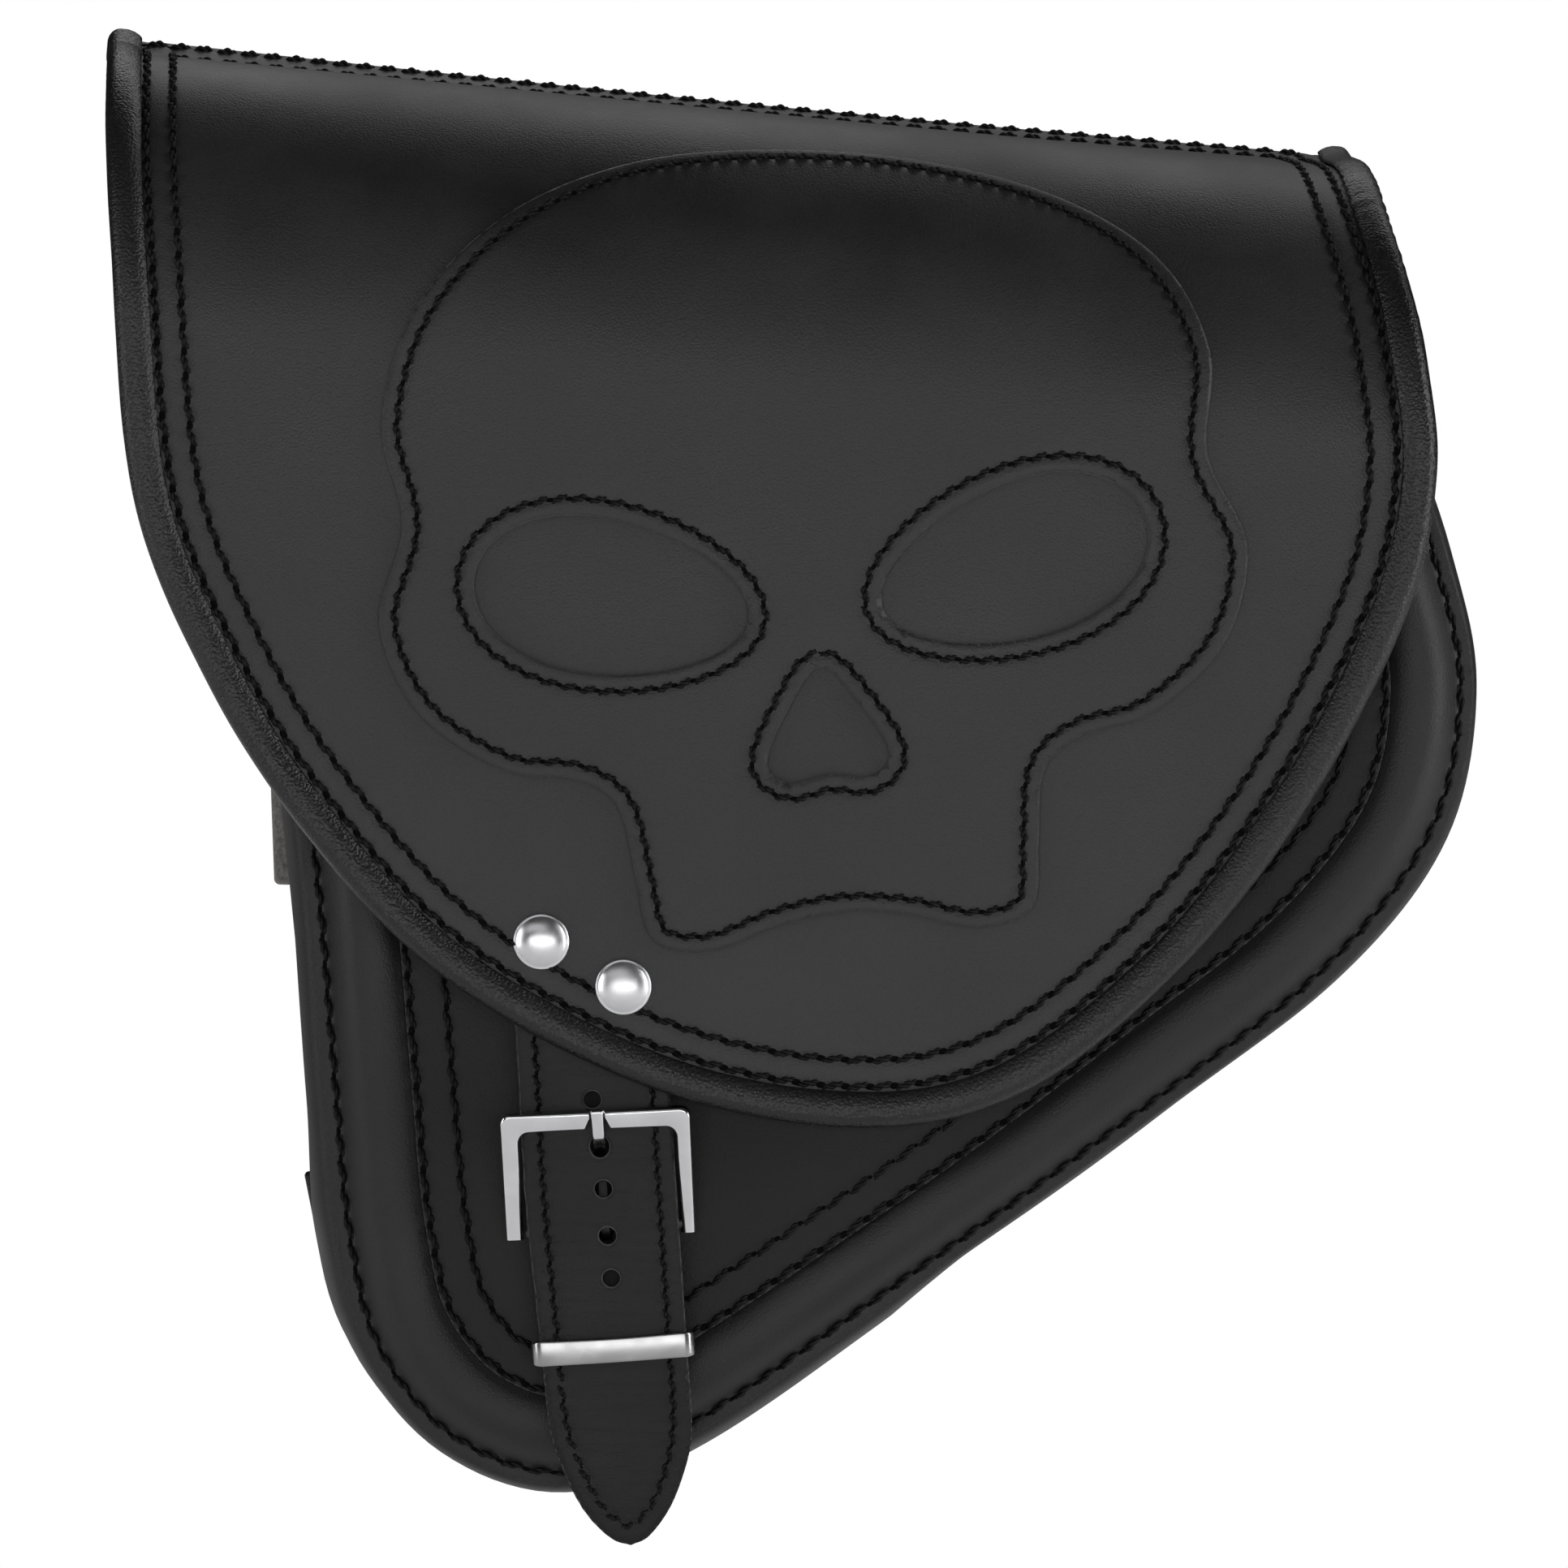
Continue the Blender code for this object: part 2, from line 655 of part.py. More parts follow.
def lid_binding():
    line = lid_edge(BINDING_LIP)
    sides = normals(line)

    def place(index, spot):
        point, side = line[index], sides[index]
        flat = 1 if 0 < index < len(line) - 1 else 0
        along = point[0] - side[0] * spot[0]
        up = point[1] - side[1] * spot[0] * flat
        return drape(along, min(up, 0.0), spot[1])

    thing = swept_piece("lid_binding", range(len(line)), BINDING_SECTION, place, colour=BINDING, roughness=0.4)
    set_origin(smooth_shade(thing), HINGE_LEFT)


def skull_place(across, up):
    turned = Vector((across, up, 0)) @ Matrix.Rotation(-SKULL_TURN, 3, "Z")
    return SKULL_CENTRE[0] + turned.x, -SKULL_CENTRE[1] + turned.y


def skull_eye(side):
    rim = []
    for x, y in circle((0, 0), 1.0, 40):
        swell = 1 + 0.16 * x
        x, y = x * SKULL_EYE_RADII[0], y * SKULL_EYE_RADII[1] * swell
        turn = SKULL_EYE_TURN
        across = SKULL_EYE_CENTRE[0] + x * math.cos(turn) - y * math.sin(turn)
        up = SKULL_EYE_CENTRE[1] + x * math.sin(turn) + y * math.cos(turn)
        rim.append(skull_place(side * across, up))
    return rim


def skull_applique():
    half = list(SKULL_HALF)
    whole = half + [(-across, up) for across, up in reversed(half[1:-1])]
    outline = [skull_place(*spot) for spot in smooth(whole, 4, closed=True)]
    nose = [skull_place(*spot) for spot in smooth(SKULL_NOSE, 4, closed=True)]
    holes = [skull_eye(1), skull_eye(-1), nose]
    thing = draped_piece("skull_applique", [outline] + holes, GAP, GAP + SKULL_THICKNESS)
    set_origin(thing, HINGE_LEFT)


def strap_rivets():
    lid_out = drape(0, -300, 0).y / -MM - BODY_FRONT
    for name, (across, up) in zip(("upper_rivet", "lower_rivet"), RIVETS):
        frame = Matrix.Translation(strap_point(across, up, 0) * MM) @ FRONT
        seat = lid_out + GAP
        tail = STRAP_BACK - GAP - 1.2
        dome = [(0, seat + 3.4), (2.4, seat + 3.2), (4.6, seat + 2.4), (6.3, seat + 1.3)]
        dome += [(RIVET_CAP_RADIUS, seat + 0.3), (RIVET_CAP_RADIUS, seat), (RIVET_SHANK_RADIUS, seat)]
        dome += [(RIVET_SHANK_RADIUS, tail), (0, tail)]
        cap = turned_piece(name + "_cap", dome, frame, colour=CHROME, metallic=1.0, roughness=0.12)
        hole = RIVET_SHANK_RADIUS + 0.1
        ring = [(hole, tail + 1.2), (4.5, tail + 1.2), (4.5, tail + 0.3), (hole, tail + 0.3)]
        back = turned_piece(name + "_washer", ring, frame, colour=STEEL, metallic=1.0, roughness=0.3)
        set_origin(cap, HINGE_LEFT)
        set_origin(back, HINGE_LEFT)


# ---------------------------------------------------------------- strap and buckle

def strap_upper():
    half = STRAP_WIDTH / 2
    outline = [(half, STRAP_FLEX + 0.2)] + arc((half - 8, STRAP_TOP - 8), 8, 0, 90, 6)
    outline += arc((8 - half, STRAP_TOP - 8), 8, 90, 180, 6) + [(-half, STRAP_FLEX + 0.2)]
    holes = [circle(rivet, RIVET_SHANK_RADIUS + GAP, 20) for rivet in RIVETS]
    holes.append(circle(STRAP_HOLES[0], STRAP_HOLE_RADIUS, 20))
    thing = flat_piece("strap_upper", [outline] + holes, STRAP_BACK, STRAP_FRONT, STRAP_FRAME)
    set_origin(thing, HINGE_LEFT)


def strap_outline(inset, top):
    """Lower strap: straight sides, then a rounded point."""
    half = STRAP_WIDTH / 2 - inset
    side = [(half, STRAP_TAPER), (half - 1.6, STRAP_TAPER - 9), (half * 0.62, STRAP_TIP + 10)]
    side += [(half * 0.27, STRAP_TIP + 2.2 + inset / 2)]
    curve = smooth([(half, STRAP_TAPER + 12)] + side + [(0, STRAP_TIP + inset)], 4)
    corner = curve[0][1]
    heights = [up for up, shift in reversed(STRAP_LEFT_EDGE) if corner < up < top]
    left = [(-half, top)] + [(-half, up) for up in heights] + [(-across, up) for across, up in curve[:-1]]
    left = [(across + uneven(up) * across / -half, up) for across, up in left]
    return [(across + lean_aside(up), up) for across, up in left + curve[-1::-1]] + [(half, top)]


def uneven(up):
    """How far right of true the strap's left edge lies at a height along it."""
    for (low, start), (high, end) in zip(STRAP_LEFT_EDGE, STRAP_LEFT_EDGE[1:]):
        if up <= high:
            part = max(0.0, (up - low) / (high - low))
            return start + (end - start) * part
    return STRAP_LEFT_EDGE[-1][1]


def lean_aside(up):
    """The strap's point leans a little to one side."""
    return STRAP_TIP_ASIDE * max(0.0, (STRAP_TAPER - up) / (STRAP_TAPER - STRAP_TIP))


def strap_lower():
    top = STRAP_FLEX - 0.2
    holes = [circle(spot, STRAP_HOLE_RADIUS, 20) for spot in STRAP_HOLES[1:]]
    holes.append(slot(PRONG_HOLE[0], PRONG_HOLE[1], PRONG_WIDTH / 2 + 0.5))
    pivot = strap_point(0, STRAP_FLEX, STRAP_FLEX_OUT)
    low, high = STRAP_PLY_SPLIT
    face = flat_piece("strap_lower", [strap_outline(0, top)] + holes, high, STRAP_FRONT, STRAP_FRAME)
    backing = flat_piece("strap_backing", [strap_outline(0.4, top)] + holes, STRAP_BACK, low, STRAP_FRAME)
    set_origin(face, pivot)
    set_origin(backing, pivot)


def side_view(frame, across):
    """Frame for a drawing of a strap seen from its left: X up the strap, Y outwards."""
    turn = Matrix(((0, 0, -1, across * MM), (1, 0, 0, 0), (0, 1, 0, 0), (0, 0, 0, 1)))
    return frame @ turn


def buckle_chape():
    """Strip folded round the heel bar, both ends stitched together lower down."""
    thick = CHAPE_THICKNESS
    inside = HEEL_RADIUS + GAP
    rear, front = HEEL_OUT - inside, HEEL_OUT + inside
    inner = [(CHAPE_END, 3.6), (-8.5, 3.6), (-7, 3.3), (-3, rear), (0, rear)]
    inner += arc((0, HEEL_OUT), inside, -90, 90, 12)[1:-1]
    inner += [(0, front), (-3, front), (-7, 4.1), (-8.5, 3.9), (CHAPE_END, 3.9)]
    outer = [(CHAPE_END, 3.9 + thick), (-8.5, 3.9 + thick), (-7, 4.2 + thick), (-3, front + thick)]
    outer += [(0, front + thick)] + arc((0, HEEL_OUT), inside + thick, 90, -90, 12)[1:-1]
    outer += [(0, rear - thick), (-3, rear - thick), (-7, 1.8), (-8.5, 2.1), (CHAPE_END, 2.1)]
    half = CHAPE_WIDTH / 2
    thing = flat_piece("buckle_chape", [inner + outer], -half, half, side_view(STRAP_FRAME, 0))
    window = flat_piece("chape_window", [rounded_box(-2.2, -7.5, 2.2, 8, 0.5)], -2, 12, STRAP_FRAME,
                        home=CUTTERS)
    cut(thing, window)
    set_origin(smooth_shade(thing), strap_point(0, STRAP_FLEX, STRAP_FLEX_OUT))


def buckle_frame():
    half = BUCKLE_WIDTH / 2
    left, right = BUCKLE_ARMS[0] - half, half - BUCKLE_ARMS[1]
    outside, inside = BUCKLE_BENDS
    top = BUCKLE_TOP
    under = top - BUCKLE_BAR
    outline = [(half, BUCKLE_FOOT)] + arc((half - outside, top - outside), outside, 0, 90, 6)
    outline += arc((outside - half, top - outside), outside, 90, 180, 6)
    outline += [(-half, BUCKLE_FOOT), (left, BUCKLE_FOOT)]
    outline += arc((left + inside, under - inside), inside, 180, 90, 4)
    outline += arc((right - inside, under - inside), inside, 90, 0, 4) + [(right, BUCKLE_FOOT)]
    tilt = STRAP_FRAME @ Matrix.Translation((0, 0, HEEL_OUT * MM)) @ Matrix.Rotation(BUCKLE_TILT, 4, "X")
    thick = BUCKLE_THICKNESS / 2
    skewed = tilt @ Matrix.Translation((BUCKLE_ASIDE * MM, 0, 0)) @ Matrix.Rotation(-BUCKLE_SKEW, 4, "Z")
    thing = flat_piece("buckle_frame", [outline], -thick, thick, skewed,
                       colour=CHROME, metallic=1.0, roughness=0.12)
    bevel(thing, 0.8)
    across = tilt @ Matrix.Rotation(math.pi / 2, 4, "Y")
    rod = flat_piece("heel_bar", [circle((0, 0), HEEL_RADIUS, 32)], left + BUCKLE_ASIDE - 2.2, right + BUCKLE_ASIDE + 2.2, across,
                     home=CUTTERS)
    cut(thing, rod, "UNION")
    lying = tilt @ Matrix.Translation((0, 0, (thick + 0.9) * MM)) @ Matrix.Rotation(-math.pi / 2, 4, "X")
    groove = flat_piece("prong_groove", [rounded_box(-1.8, -1.9, 1.8, 1.9, 0.6)], top - 9, top + 4, lying,
                        home=CUTTERS)
    cut(thing, groove)
    set_origin(smooth_shade(thing), strap_point(0, 0, HEEL_OUT))


def buckle_prong():
    """Flat wire curled round the heel bar, cranked up through the strap's hole onto the top bar."""
    thick = PRONG_THICKNESS
    inside = HEEL_RADIUS + 0.15
    curl = arc((0, HEEL_OUT), inside, 370, 82, 28)
    crank = [(15.6, 3.05), (16.6, 3.4), (24.0, 12.1), (25.2, 12.65), (30.6, 14.25)]
    line = curl + crank
    strip = ribbon(line, thick)
    half = PRONG_WIDTH / 2
    thing = flat_piece("buckle_prong", [strip], -half, half, side_view(STRAP_FRAME, 0),
                       colour=CHROME, metallic=1.0, roughness=0.15)
    set_origin(smooth_shade(thing), strap_point(0, 0, HEEL_OUT))


def strap_keeper():
    half = STRAP_WIDTH / 2 + 0.5
    low, high = STRAP_BACK - 0.4, STRAP_FRONT + 0.4
    thick = KEEPER_THICKNESS
    outer = rounded_box(-half - thick, low - thick, half + thick, high + thick, 2.2)
    inner = rounded_box(-half, low, half, high, 0.8)
    lying = STRAP_FRAME @ Matrix.Rotation(math.pi / 2, 4, "X")
    middle = KEEPER_UP
    reach = KEEPER_HEIGHT / 2
    thing = flat_piece("strap_keeper", [outer, inner], -middle - reach, -middle + reach, lying,
                       colour=CHROME, metallic=1.0, roughness=0.2)
    set_origin(smooth_shade(thing), strap_point(0, middle, (low + high) / 2))


def snap():
    """Press snap that holds the closed strap on the front panel."""
    frame = STRAP_FRAME @ Matrix.Translation((0, SNAP_DOWN * MM, 0))
    stud = [(0, 1.6), (1.5, 1.6), (2.1, 1.2), (2.1, 0.7), (4.6, 0.7), (4.6, GAP), (0, GAP)]
    turned_piece("snap_stud", stud, frame, colour=STEEL, metallic=1.0, roughness=0.3)
    socket = [(2.6, 1.8), (5.4, 1.8), (5.4, 1.2), (4.8, 1.0), (2.6, 1.0)]
    ring = turned_piece("snap_socket", socket, frame, colour=STEEL, metallic=1.0, roughness=0.3)
    set_origin(ring, strap_point(0, STRAP_FLEX, STRAP_FLEX_OUT))


MOUTH = mouth_cutter()
back_panel()
back_board()
gusset(MOUTH)
front_panel(MOUTH)
front_overlay(MOUTH)
front_hem()
hinge_strips()
mounting_straps()
lid_leather()
lid_binding()
skull_applique()
strap_rivets()
strap_upper()
strap_lower()
buckle_chape()
buckle_frame()
buckle_prong()
strap_keeper()
snap()
for group in (PARTS, CUTTERS):
    for thing in group.objects:
        thing.location -= MOUNT_FACE * MM
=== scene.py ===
"""Looks for the leather motorcycle saddlebag: leather sheets, padded front, stitches, chrome and stage.

Lengths are millimetres in the CAD's drawing coordinates; place functions turn them into world metres.
"""
import math

import bpy
import numpy as np
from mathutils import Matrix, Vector, geometry

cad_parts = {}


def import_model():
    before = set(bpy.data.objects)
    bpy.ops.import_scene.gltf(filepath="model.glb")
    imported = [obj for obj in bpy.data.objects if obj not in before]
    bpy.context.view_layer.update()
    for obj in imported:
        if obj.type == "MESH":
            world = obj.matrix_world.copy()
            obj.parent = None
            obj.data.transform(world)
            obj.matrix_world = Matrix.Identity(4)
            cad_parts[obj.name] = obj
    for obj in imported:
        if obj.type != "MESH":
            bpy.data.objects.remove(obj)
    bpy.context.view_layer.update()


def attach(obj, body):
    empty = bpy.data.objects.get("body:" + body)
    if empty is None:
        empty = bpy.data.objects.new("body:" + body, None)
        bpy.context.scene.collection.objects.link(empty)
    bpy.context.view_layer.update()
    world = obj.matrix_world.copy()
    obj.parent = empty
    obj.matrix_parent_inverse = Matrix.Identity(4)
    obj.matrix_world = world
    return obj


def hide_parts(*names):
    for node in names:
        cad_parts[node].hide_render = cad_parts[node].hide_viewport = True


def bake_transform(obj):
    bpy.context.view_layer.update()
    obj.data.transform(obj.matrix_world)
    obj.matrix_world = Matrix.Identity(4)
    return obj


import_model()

MM = 0.001
ORIGIN = np.array((-100.0, 11.7, 165.0))


# ---------------------------------------------------------------- driving sizes, as in the CAD

TOP_SLOPE = math.radians(5.5)
HINGE_LEFT = np.array((-169.6, 0.0, 375.0))
ALONG = np.array((math.cos(TOP_SLOPE), 0.0, -math.sin(TOP_SLOPE)))
DOWN = np.array((-math.sin(TOP_SLOPE), 0.0, -math.cos(TOP_SLOPE)))
BACKWARD = np.array((0.0, 1.0, 0.0))
LID_THICKNESS = 3.5
LID_SHELF = 38.7
LID_DROP = math.radians(10.0)
LID_BEND = 74.0
LID_TURN = math.radians(90.0) - LID_DROP
LID_EDGE = (
    (-10, 0), (-2, 76), (6, 128), (17, 186), (37, 226), (64, 262), (104.6, 298.2), (158.3, 321.5),
    (210, 327.6), (252, 316.5), (290, 282), (320, 236), (340, 186), (344.5, 150), (339, 118), (327, 67),
    (321.6, 0),
)
BINDING_LIP = 2.0
BINDING_REACH = 6.9
LID_ROWS = (10.3, 17.0)
# The rows lie this much further in at the lid's rear right corner.
LID_ROWS_CORNER = 4.5

BODY_EDGE = (
    (-146.5, 364.7), (-138.5, 292), (-131, 220), (-122.7, 155), (-117.9, 100), (-114.2, 62), (-106.3, 32),
    (-86, 8), (-56, -1.6), (-22, 11.5), (40, 54), (96, 94), (140, 128), (168, 164), (176, 202), (169, 237),
    (154, 282), (138, 337.3),
)
BODY_FRONT = 83.8
BORDER = (
    (0, -7.3), (0.5, -7.05), (2.4, -7.0), (3.2, -7.15), (4.2, -6.6), (5.6, -4.7), (8, -1.9), (11, 0.2),
    (14.5, 0.9), (18, 0.7), (20.8, -0.1), (22.4, -1.1), (23.6, -2.3), (24.8, -2.6), (27, -2.6),
)
FRONT_TOP = 88.0
OVERLAY_INSET = 23.0
BODY_ROWS = (3.3, 24.4, 33.6)
PADDED_THICKNESS = 2.4
SEAM_SPACING = 3.0

STRAP_ORIGIN = np.array((-45.3, -BODY_FRONT, 64.7))
STRAP_LEAN = math.radians(3.8)
ACROSS = np.array((math.cos(STRAP_LEAN), 0.0, math.sin(STRAP_LEAN)))
UP = np.array((-math.sin(STRAP_LEAN), 0.0, math.cos(STRAP_LEAN)))
STRAP_WIDTH = 37.4
STRAP_FRONT = 10.2
STRAP_FACE_BACK = 8.5
LINING_FRONT = 8.4
LINING_BACK = 7.2
STRAP_SEAM = 4.5
STRAP_TOP = 86.9
STRAP_FLEX = 29.0
STRAP_FLEX_OUT = 11.7
STRAP_BEND_HALF = 3.5
STRAP_TAPER = -49.2
STRAP_TIP = -80.3
STRAP_TIP_ASIDE = 1.2
# The strap's left edge is cut unevenly: height along the strap, and how far right it lies of true.
STRAP_LEFT_EDGE = (
    (-80, 0.4), (-72, 1.0), (-58, 1.7), (-42, 1.0), (-20, 0.1), (0, -0.8), (14, -1.1), (40, -0.6),
)
STRAP_HOLES = ((-1.1, 33.0), (0.2, 10.2), (0.5, -1.7), (0.7, -12.5))
STRAP_HOLE_RADIUS = 2.25
# The hole the prong is through, second from the top, has been pulled longer.
PRONG_HOLE_CENTRE = np.array((0.0, 21.0))
PRONG_HOLE_RADII = np.array((2.5, 2.9))
KEEPER_UP = -30.3
RIVETS = ((-11.1, 73.9), (8.8, 61.1))
HEEL_OUT = 3.6
BUCKLE_TILT = math.radians(17.8)
BUCKLE_SKEW = math.radians(1.3)
BUCKLE_ASIDE = -1.3
BUCKLE_HALF_WIDTH = 24.1
BUCKLE_TOP = 32.0
BUCKLE_BAR = 5.0
BUCKLE_ARMS = (4.5, 3.7)
BUCKLE_BENDS = (2.4, 3.0)
BUCKLE_FOOT = -1.6

SKULL_CENTRE = (196.8, 227.3)
SKULL_TURN = math.radians(10.5)
SKULL_HALF = (
    (0, 157), (34, 153), (68, 138), (94, 114), (105, 86), (102, 60), (110, 36), (102, 12), (82, -4),
    (64, -8), (54, -16), (51, -34), (48, -50), (34, -54), (16, -49), (0, -47),
)
SKULL_EYE = (51.0, 37.0)
SKULL_EYE_RADII = (35.0, 19.5)
SKULL_EYE_TURN = math.radians(14.0)
# From an opening's edge, and from the outline, to the seam beside it.
SKULL_SEAM = 3.9
SKULL_TOP = 2.0
SKULL_NOSE = ((0, 15), (9, 5), (15.5, -8), (10, -13.5), (0, -12), (-10, -13.5), (-15.5, -8), (-9, 5))

# Stitch length of each seam, thread radius, how far a stitch slants, and half sizes of the dark lens painted
# as shade in a needle hole.
LID_PITCH = 6.2
SKULL_PITCH = 4.9
BODY_PITCH = 7.1
BACK_PITCH = 6.7
STRAP_PITCH = 4.4
THREAD_RADIUS = 0.50
STITCH_SLANT = 0.62
HOLE_SHADE_REACH = (1.3, 0.9)


# ---------------------------------------------------------------- lines


def smooth(points, steps=6, closed=False):
    """Catmull-Rom curve through the points."""
    points = np.array(points, float)
    if closed:
        padded = np.vstack((points[-1:], points, points[:2]))
    else:
        first = 2 * points[0] - points[1]
        last = 2 * points[-1] - points[-2]
        padded = np.vstack((first, points, last))
    line = []
    for a, b, c, d in zip(padded, padded[1:], padded[2:], padded[3:]):
        for step in range(steps):
            t = step / steps
            line.append((2 * b + (c - a) * t + (2 * a - 5 * b + 4 * c - d) * t * t
                         + (3 * b - a - 3 * c + d) * t ** 3) / 2)
    if not closed:
        line.append(points[-1])
    return np.array(line)


def run_lengths(line):
    return np.concatenate(((0.0,), np.cumsum(np.linalg.norm(np.diff(line, axis=0), axis=1))))


def along_line(line, runs):
    """Points at given runs along a line."""
    lengths = run_lengths(line)
    return np.stack([np.interp(runs, lengths, line[:, axis]) for axis in range(line.shape[1])], axis=1)


def even(line, spacing):
    lengths = run_lengths(line)
    return along_line(line, np.linspace(0, lengths[-1], round(lengths[-1] / spacing) + 1))


def close(line):
    return np.vstack((line, line[:1]))


def left_normals(line, closed=False):
    if closed:
        step = np.roll(line, -1, axis=0) - np.roll(line, 1, axis=0)
    else:
        step = np.gradient(line, axis=0)
    step = step / np.linalg.norm(step, axis=1)[:, None]
    return np.stack((-step[:, 1], step[:, 0]), axis=1)


def offset(line, distance, closed=False):
    return line + left_normals(line, closed) * distance


def turns(count):
    """Angles that go round once."""
    return np.arange(count) / count * 2 * math.pi


def circle(centre, radius, count=32):
    turn = turns(count)
    return np.stack((centre[0] + radius * np.cos(turn), centre[1] + radius * np.sin(turn)), axis=1)


def arc(centre, radius, start, end, count=8):
    turn = np.radians(np.linspace(start, end, count + 1))
    return np.stack((centre[0] + radius * np.cos(turn), centre[1] + radius * np.sin(turn)), axis=1)


def rounded_box(left, bottom, right, top, radius, count=6):
    return np.vstack((arc((right - radius, top - radius), radius, 0, 90, count),
                      arc((left + radius, top - radius), radius, 90, 180, count),
                      arc((left + radius, bottom + radius), radius, 180, 270, count),
                      arc((right - radius, bottom + radius), radius, 270, 360, count)))


def inside(points, loop):
    """Which points lie inside a closed outline."""
    x, y = points[:, 0][:, None], points[:, 1][:, None]
    ends = np.roll(loop, -1, axis=0)
    x0, y0, x1, y1 = loop[:, 0], loop[:, 1], ends[:, 0], ends[:, 1]
    crosses = (y0 > y) != (y1 > y)
    rise = np.where(y1 == y0, 1e-9, y1 - y0)
    return np.sum(crosses & (x < (x1 - x0) * (y - y0) / rise + x0), axis=1) % 2 == 1


def distance(points, line):
    """Distance from each point to a line of segments."""
    start, end = line[:-1], line[1:]
    step = end - start
    length = np.maximum(np.sum(step * step, axis=1), 1e-12)
    nearest = np.full(len(points), np.inf)
    for block in range(0, len(points), 4000):
        part = points[block:block + 4000][:, None, :]
        t = np.clip(np.sum((part - start) * step, axis=2) / length, 0, 1)
        gap = np.linalg.norm(part - start - t[..., None] * step, axis=2)
        nearest[block:block + 4000] = gap.min(axis=1)
    return nearest


def groove(gap, at, wide):
    """A soft furrow, 1 deep, at some distance from an edge."""
    return np.exp(-((gap - at) / wide) ** 2)


# ---------------------------------------------------------------- places


def world(points):
    return (points - ORIGIN) * MM


def on_lid(x, y, out):
    """Flat pattern of the lid (along the hinge line, minus the run down the sheet) to the world."""
    run = -np.asarray(y, float)
    turn = np.clip(LID_DROP + (run - LID_SHELF) / LID_BEND, LID_DROP, math.pi / 2)
    shelf = np.minimum(run, LID_SHELF)
    hang = np.maximum(0.0, run - LID_SHELF - LID_BEND * LID_TURN)
    forward = shelf * math.cos(LID_DROP) + LID_BEND * (np.sin(turn) - math.sin(LID_DROP))
    down = shelf * math.sin(LID_DROP) + LID_BEND * (math.cos(LID_DROP) - np.cos(turn)) + hang
    forward = forward + out * np.sin(turn)
    down = down - out * np.cos(turn) + shelf_sag(x, run)
    return world(HINGE_LEFT + np.multiply.outer(np.asarray(x, float), ALONG)
                 + np.multiply.outer(down, DOWN) - np.multiply.outer(forward, BACKWARD))


def shelf_sag(x, run):
    """The lid dips between the hinge line and the bend, most at the left, and in the middle of its width."""
    depth = np.interp(x, (0, 120, 320), (2.9, 1.6, 0.9))
    fade = np.exp(-(np.maximum(run - 11.0, 0) / 17.0) ** 2)
    middle = 1.35 * np.sin(math.pi * np.clip(np.asarray(x) / 322.0, 0, 1))
    return (depth * np.clip(run / 9.0, 0, 1) ** 1.3 + middle) * fade


def on_front(x, y, out):
    """Front of the body: across, up, and out from the overlay's face."""
    return world(np.stack((x, -BODY_FRONT - np.asarray(out, float) + 0 * x, y), axis=-1))


def on_back(x, y, out):
    """Back of the body, seen from behind: the drawing keeps X and Z, out is towards +Y."""
    return world(np.stack((x, np.asarray(out, float) + 0 * x, y), axis=-1))


def on_strap(x, y, out):
    """Strap's own drawing: across, up along the strap, and out from the front panel."""
    out = np.asarray(out, float) + 0 * np.asarray(x, float)
    return world(STRAP_ORIGIN + np.multiply.outer(np.asarray(x, float), ACROSS)
                 + np.multiply.outer(np.asarray(y, float), UP) - np.multiply.outer(out, BACKWARD))


# ---------------------------------------------------------------- meshes


def build(name, verts, faces, materials, face_slots=None, sharp=40):
    mesh = bpy.data.meshes.new(name)
    mesh.from_pydata([tuple(vert) for vert in np.asarray(verts, float)], [], faces)
    mesh.update()
    for made in materials:
        mesh.materials.append(made)
    if face_slots is not None:
        mesh.polygons.foreach_set("material_index", face_slots)
    mesh.polygons.foreach_set("use_smooth", [True] * len(mesh.polygons))
    mesh.set_sharp_from_angle(angle=math.radians(sharp))
    thing = bpy.data.objects.new(name, mesh)
    bpy.context.scene.collection.objects.link(thing)
    return thing


def triangulate(outline, holes, extra):
    """Triangles that fill an outline, leave its holes open and use the extra points."""
    loops = [outline] + list(holes)
    points = np.vstack(loops + [extra]) if len(extra) else np.vstack(loops)
    edges = []
    base = 0
    for loop in loops:
        count = len(loop)
        edges += [(base + index, base + (index + 1) % count) for index in range(count)]
        base += count
    result = geometry.delaunay_2d_cdt([Vector(point) for point in points], edges, [], 0, 0.001)
    spots = np.array([tuple(vert) for vert in result[0]])
    faces = np.array([face for face in result[2] if len(face) == 3])
    middle = spots[faces].mean(axis=1)
    keep = inside(middle, outline)
    for hole in holes:
        keep &= ~inside(middle, hole)
    faces = faces[keep]
    corners = spots[faces]
    one, two = corners[:, 1] - corners[:, 0], corners[:, 2] - corners[:, 0]
    flip = one[:, 0] * two[:, 1] - one[:, 1] * two[:, 0] < 0
    faces[flip] = faces[flip][:, ::-1]
    used = np.unique(faces)
    renumber = np.full(len(spots), -1)
    renumber[used] = np.arange(len(used))
    return spots[used], renumber[faces]


def grid_points(outline, spacing):
    """Staggered points over the box round an outline."""
    low, high = outline.min(axis=0), outline.max(axis=0)
    xs = np.arange(low[0], high[0], spacing)
    ys = np.arange(low[1], high[1], spacing * 0.87)
    return np.vstack([np.stack((xs + (index % 2) * spacing / 2, np.full(len(xs), y)), axis=1)
                      for index, y in enumerate(ys)])


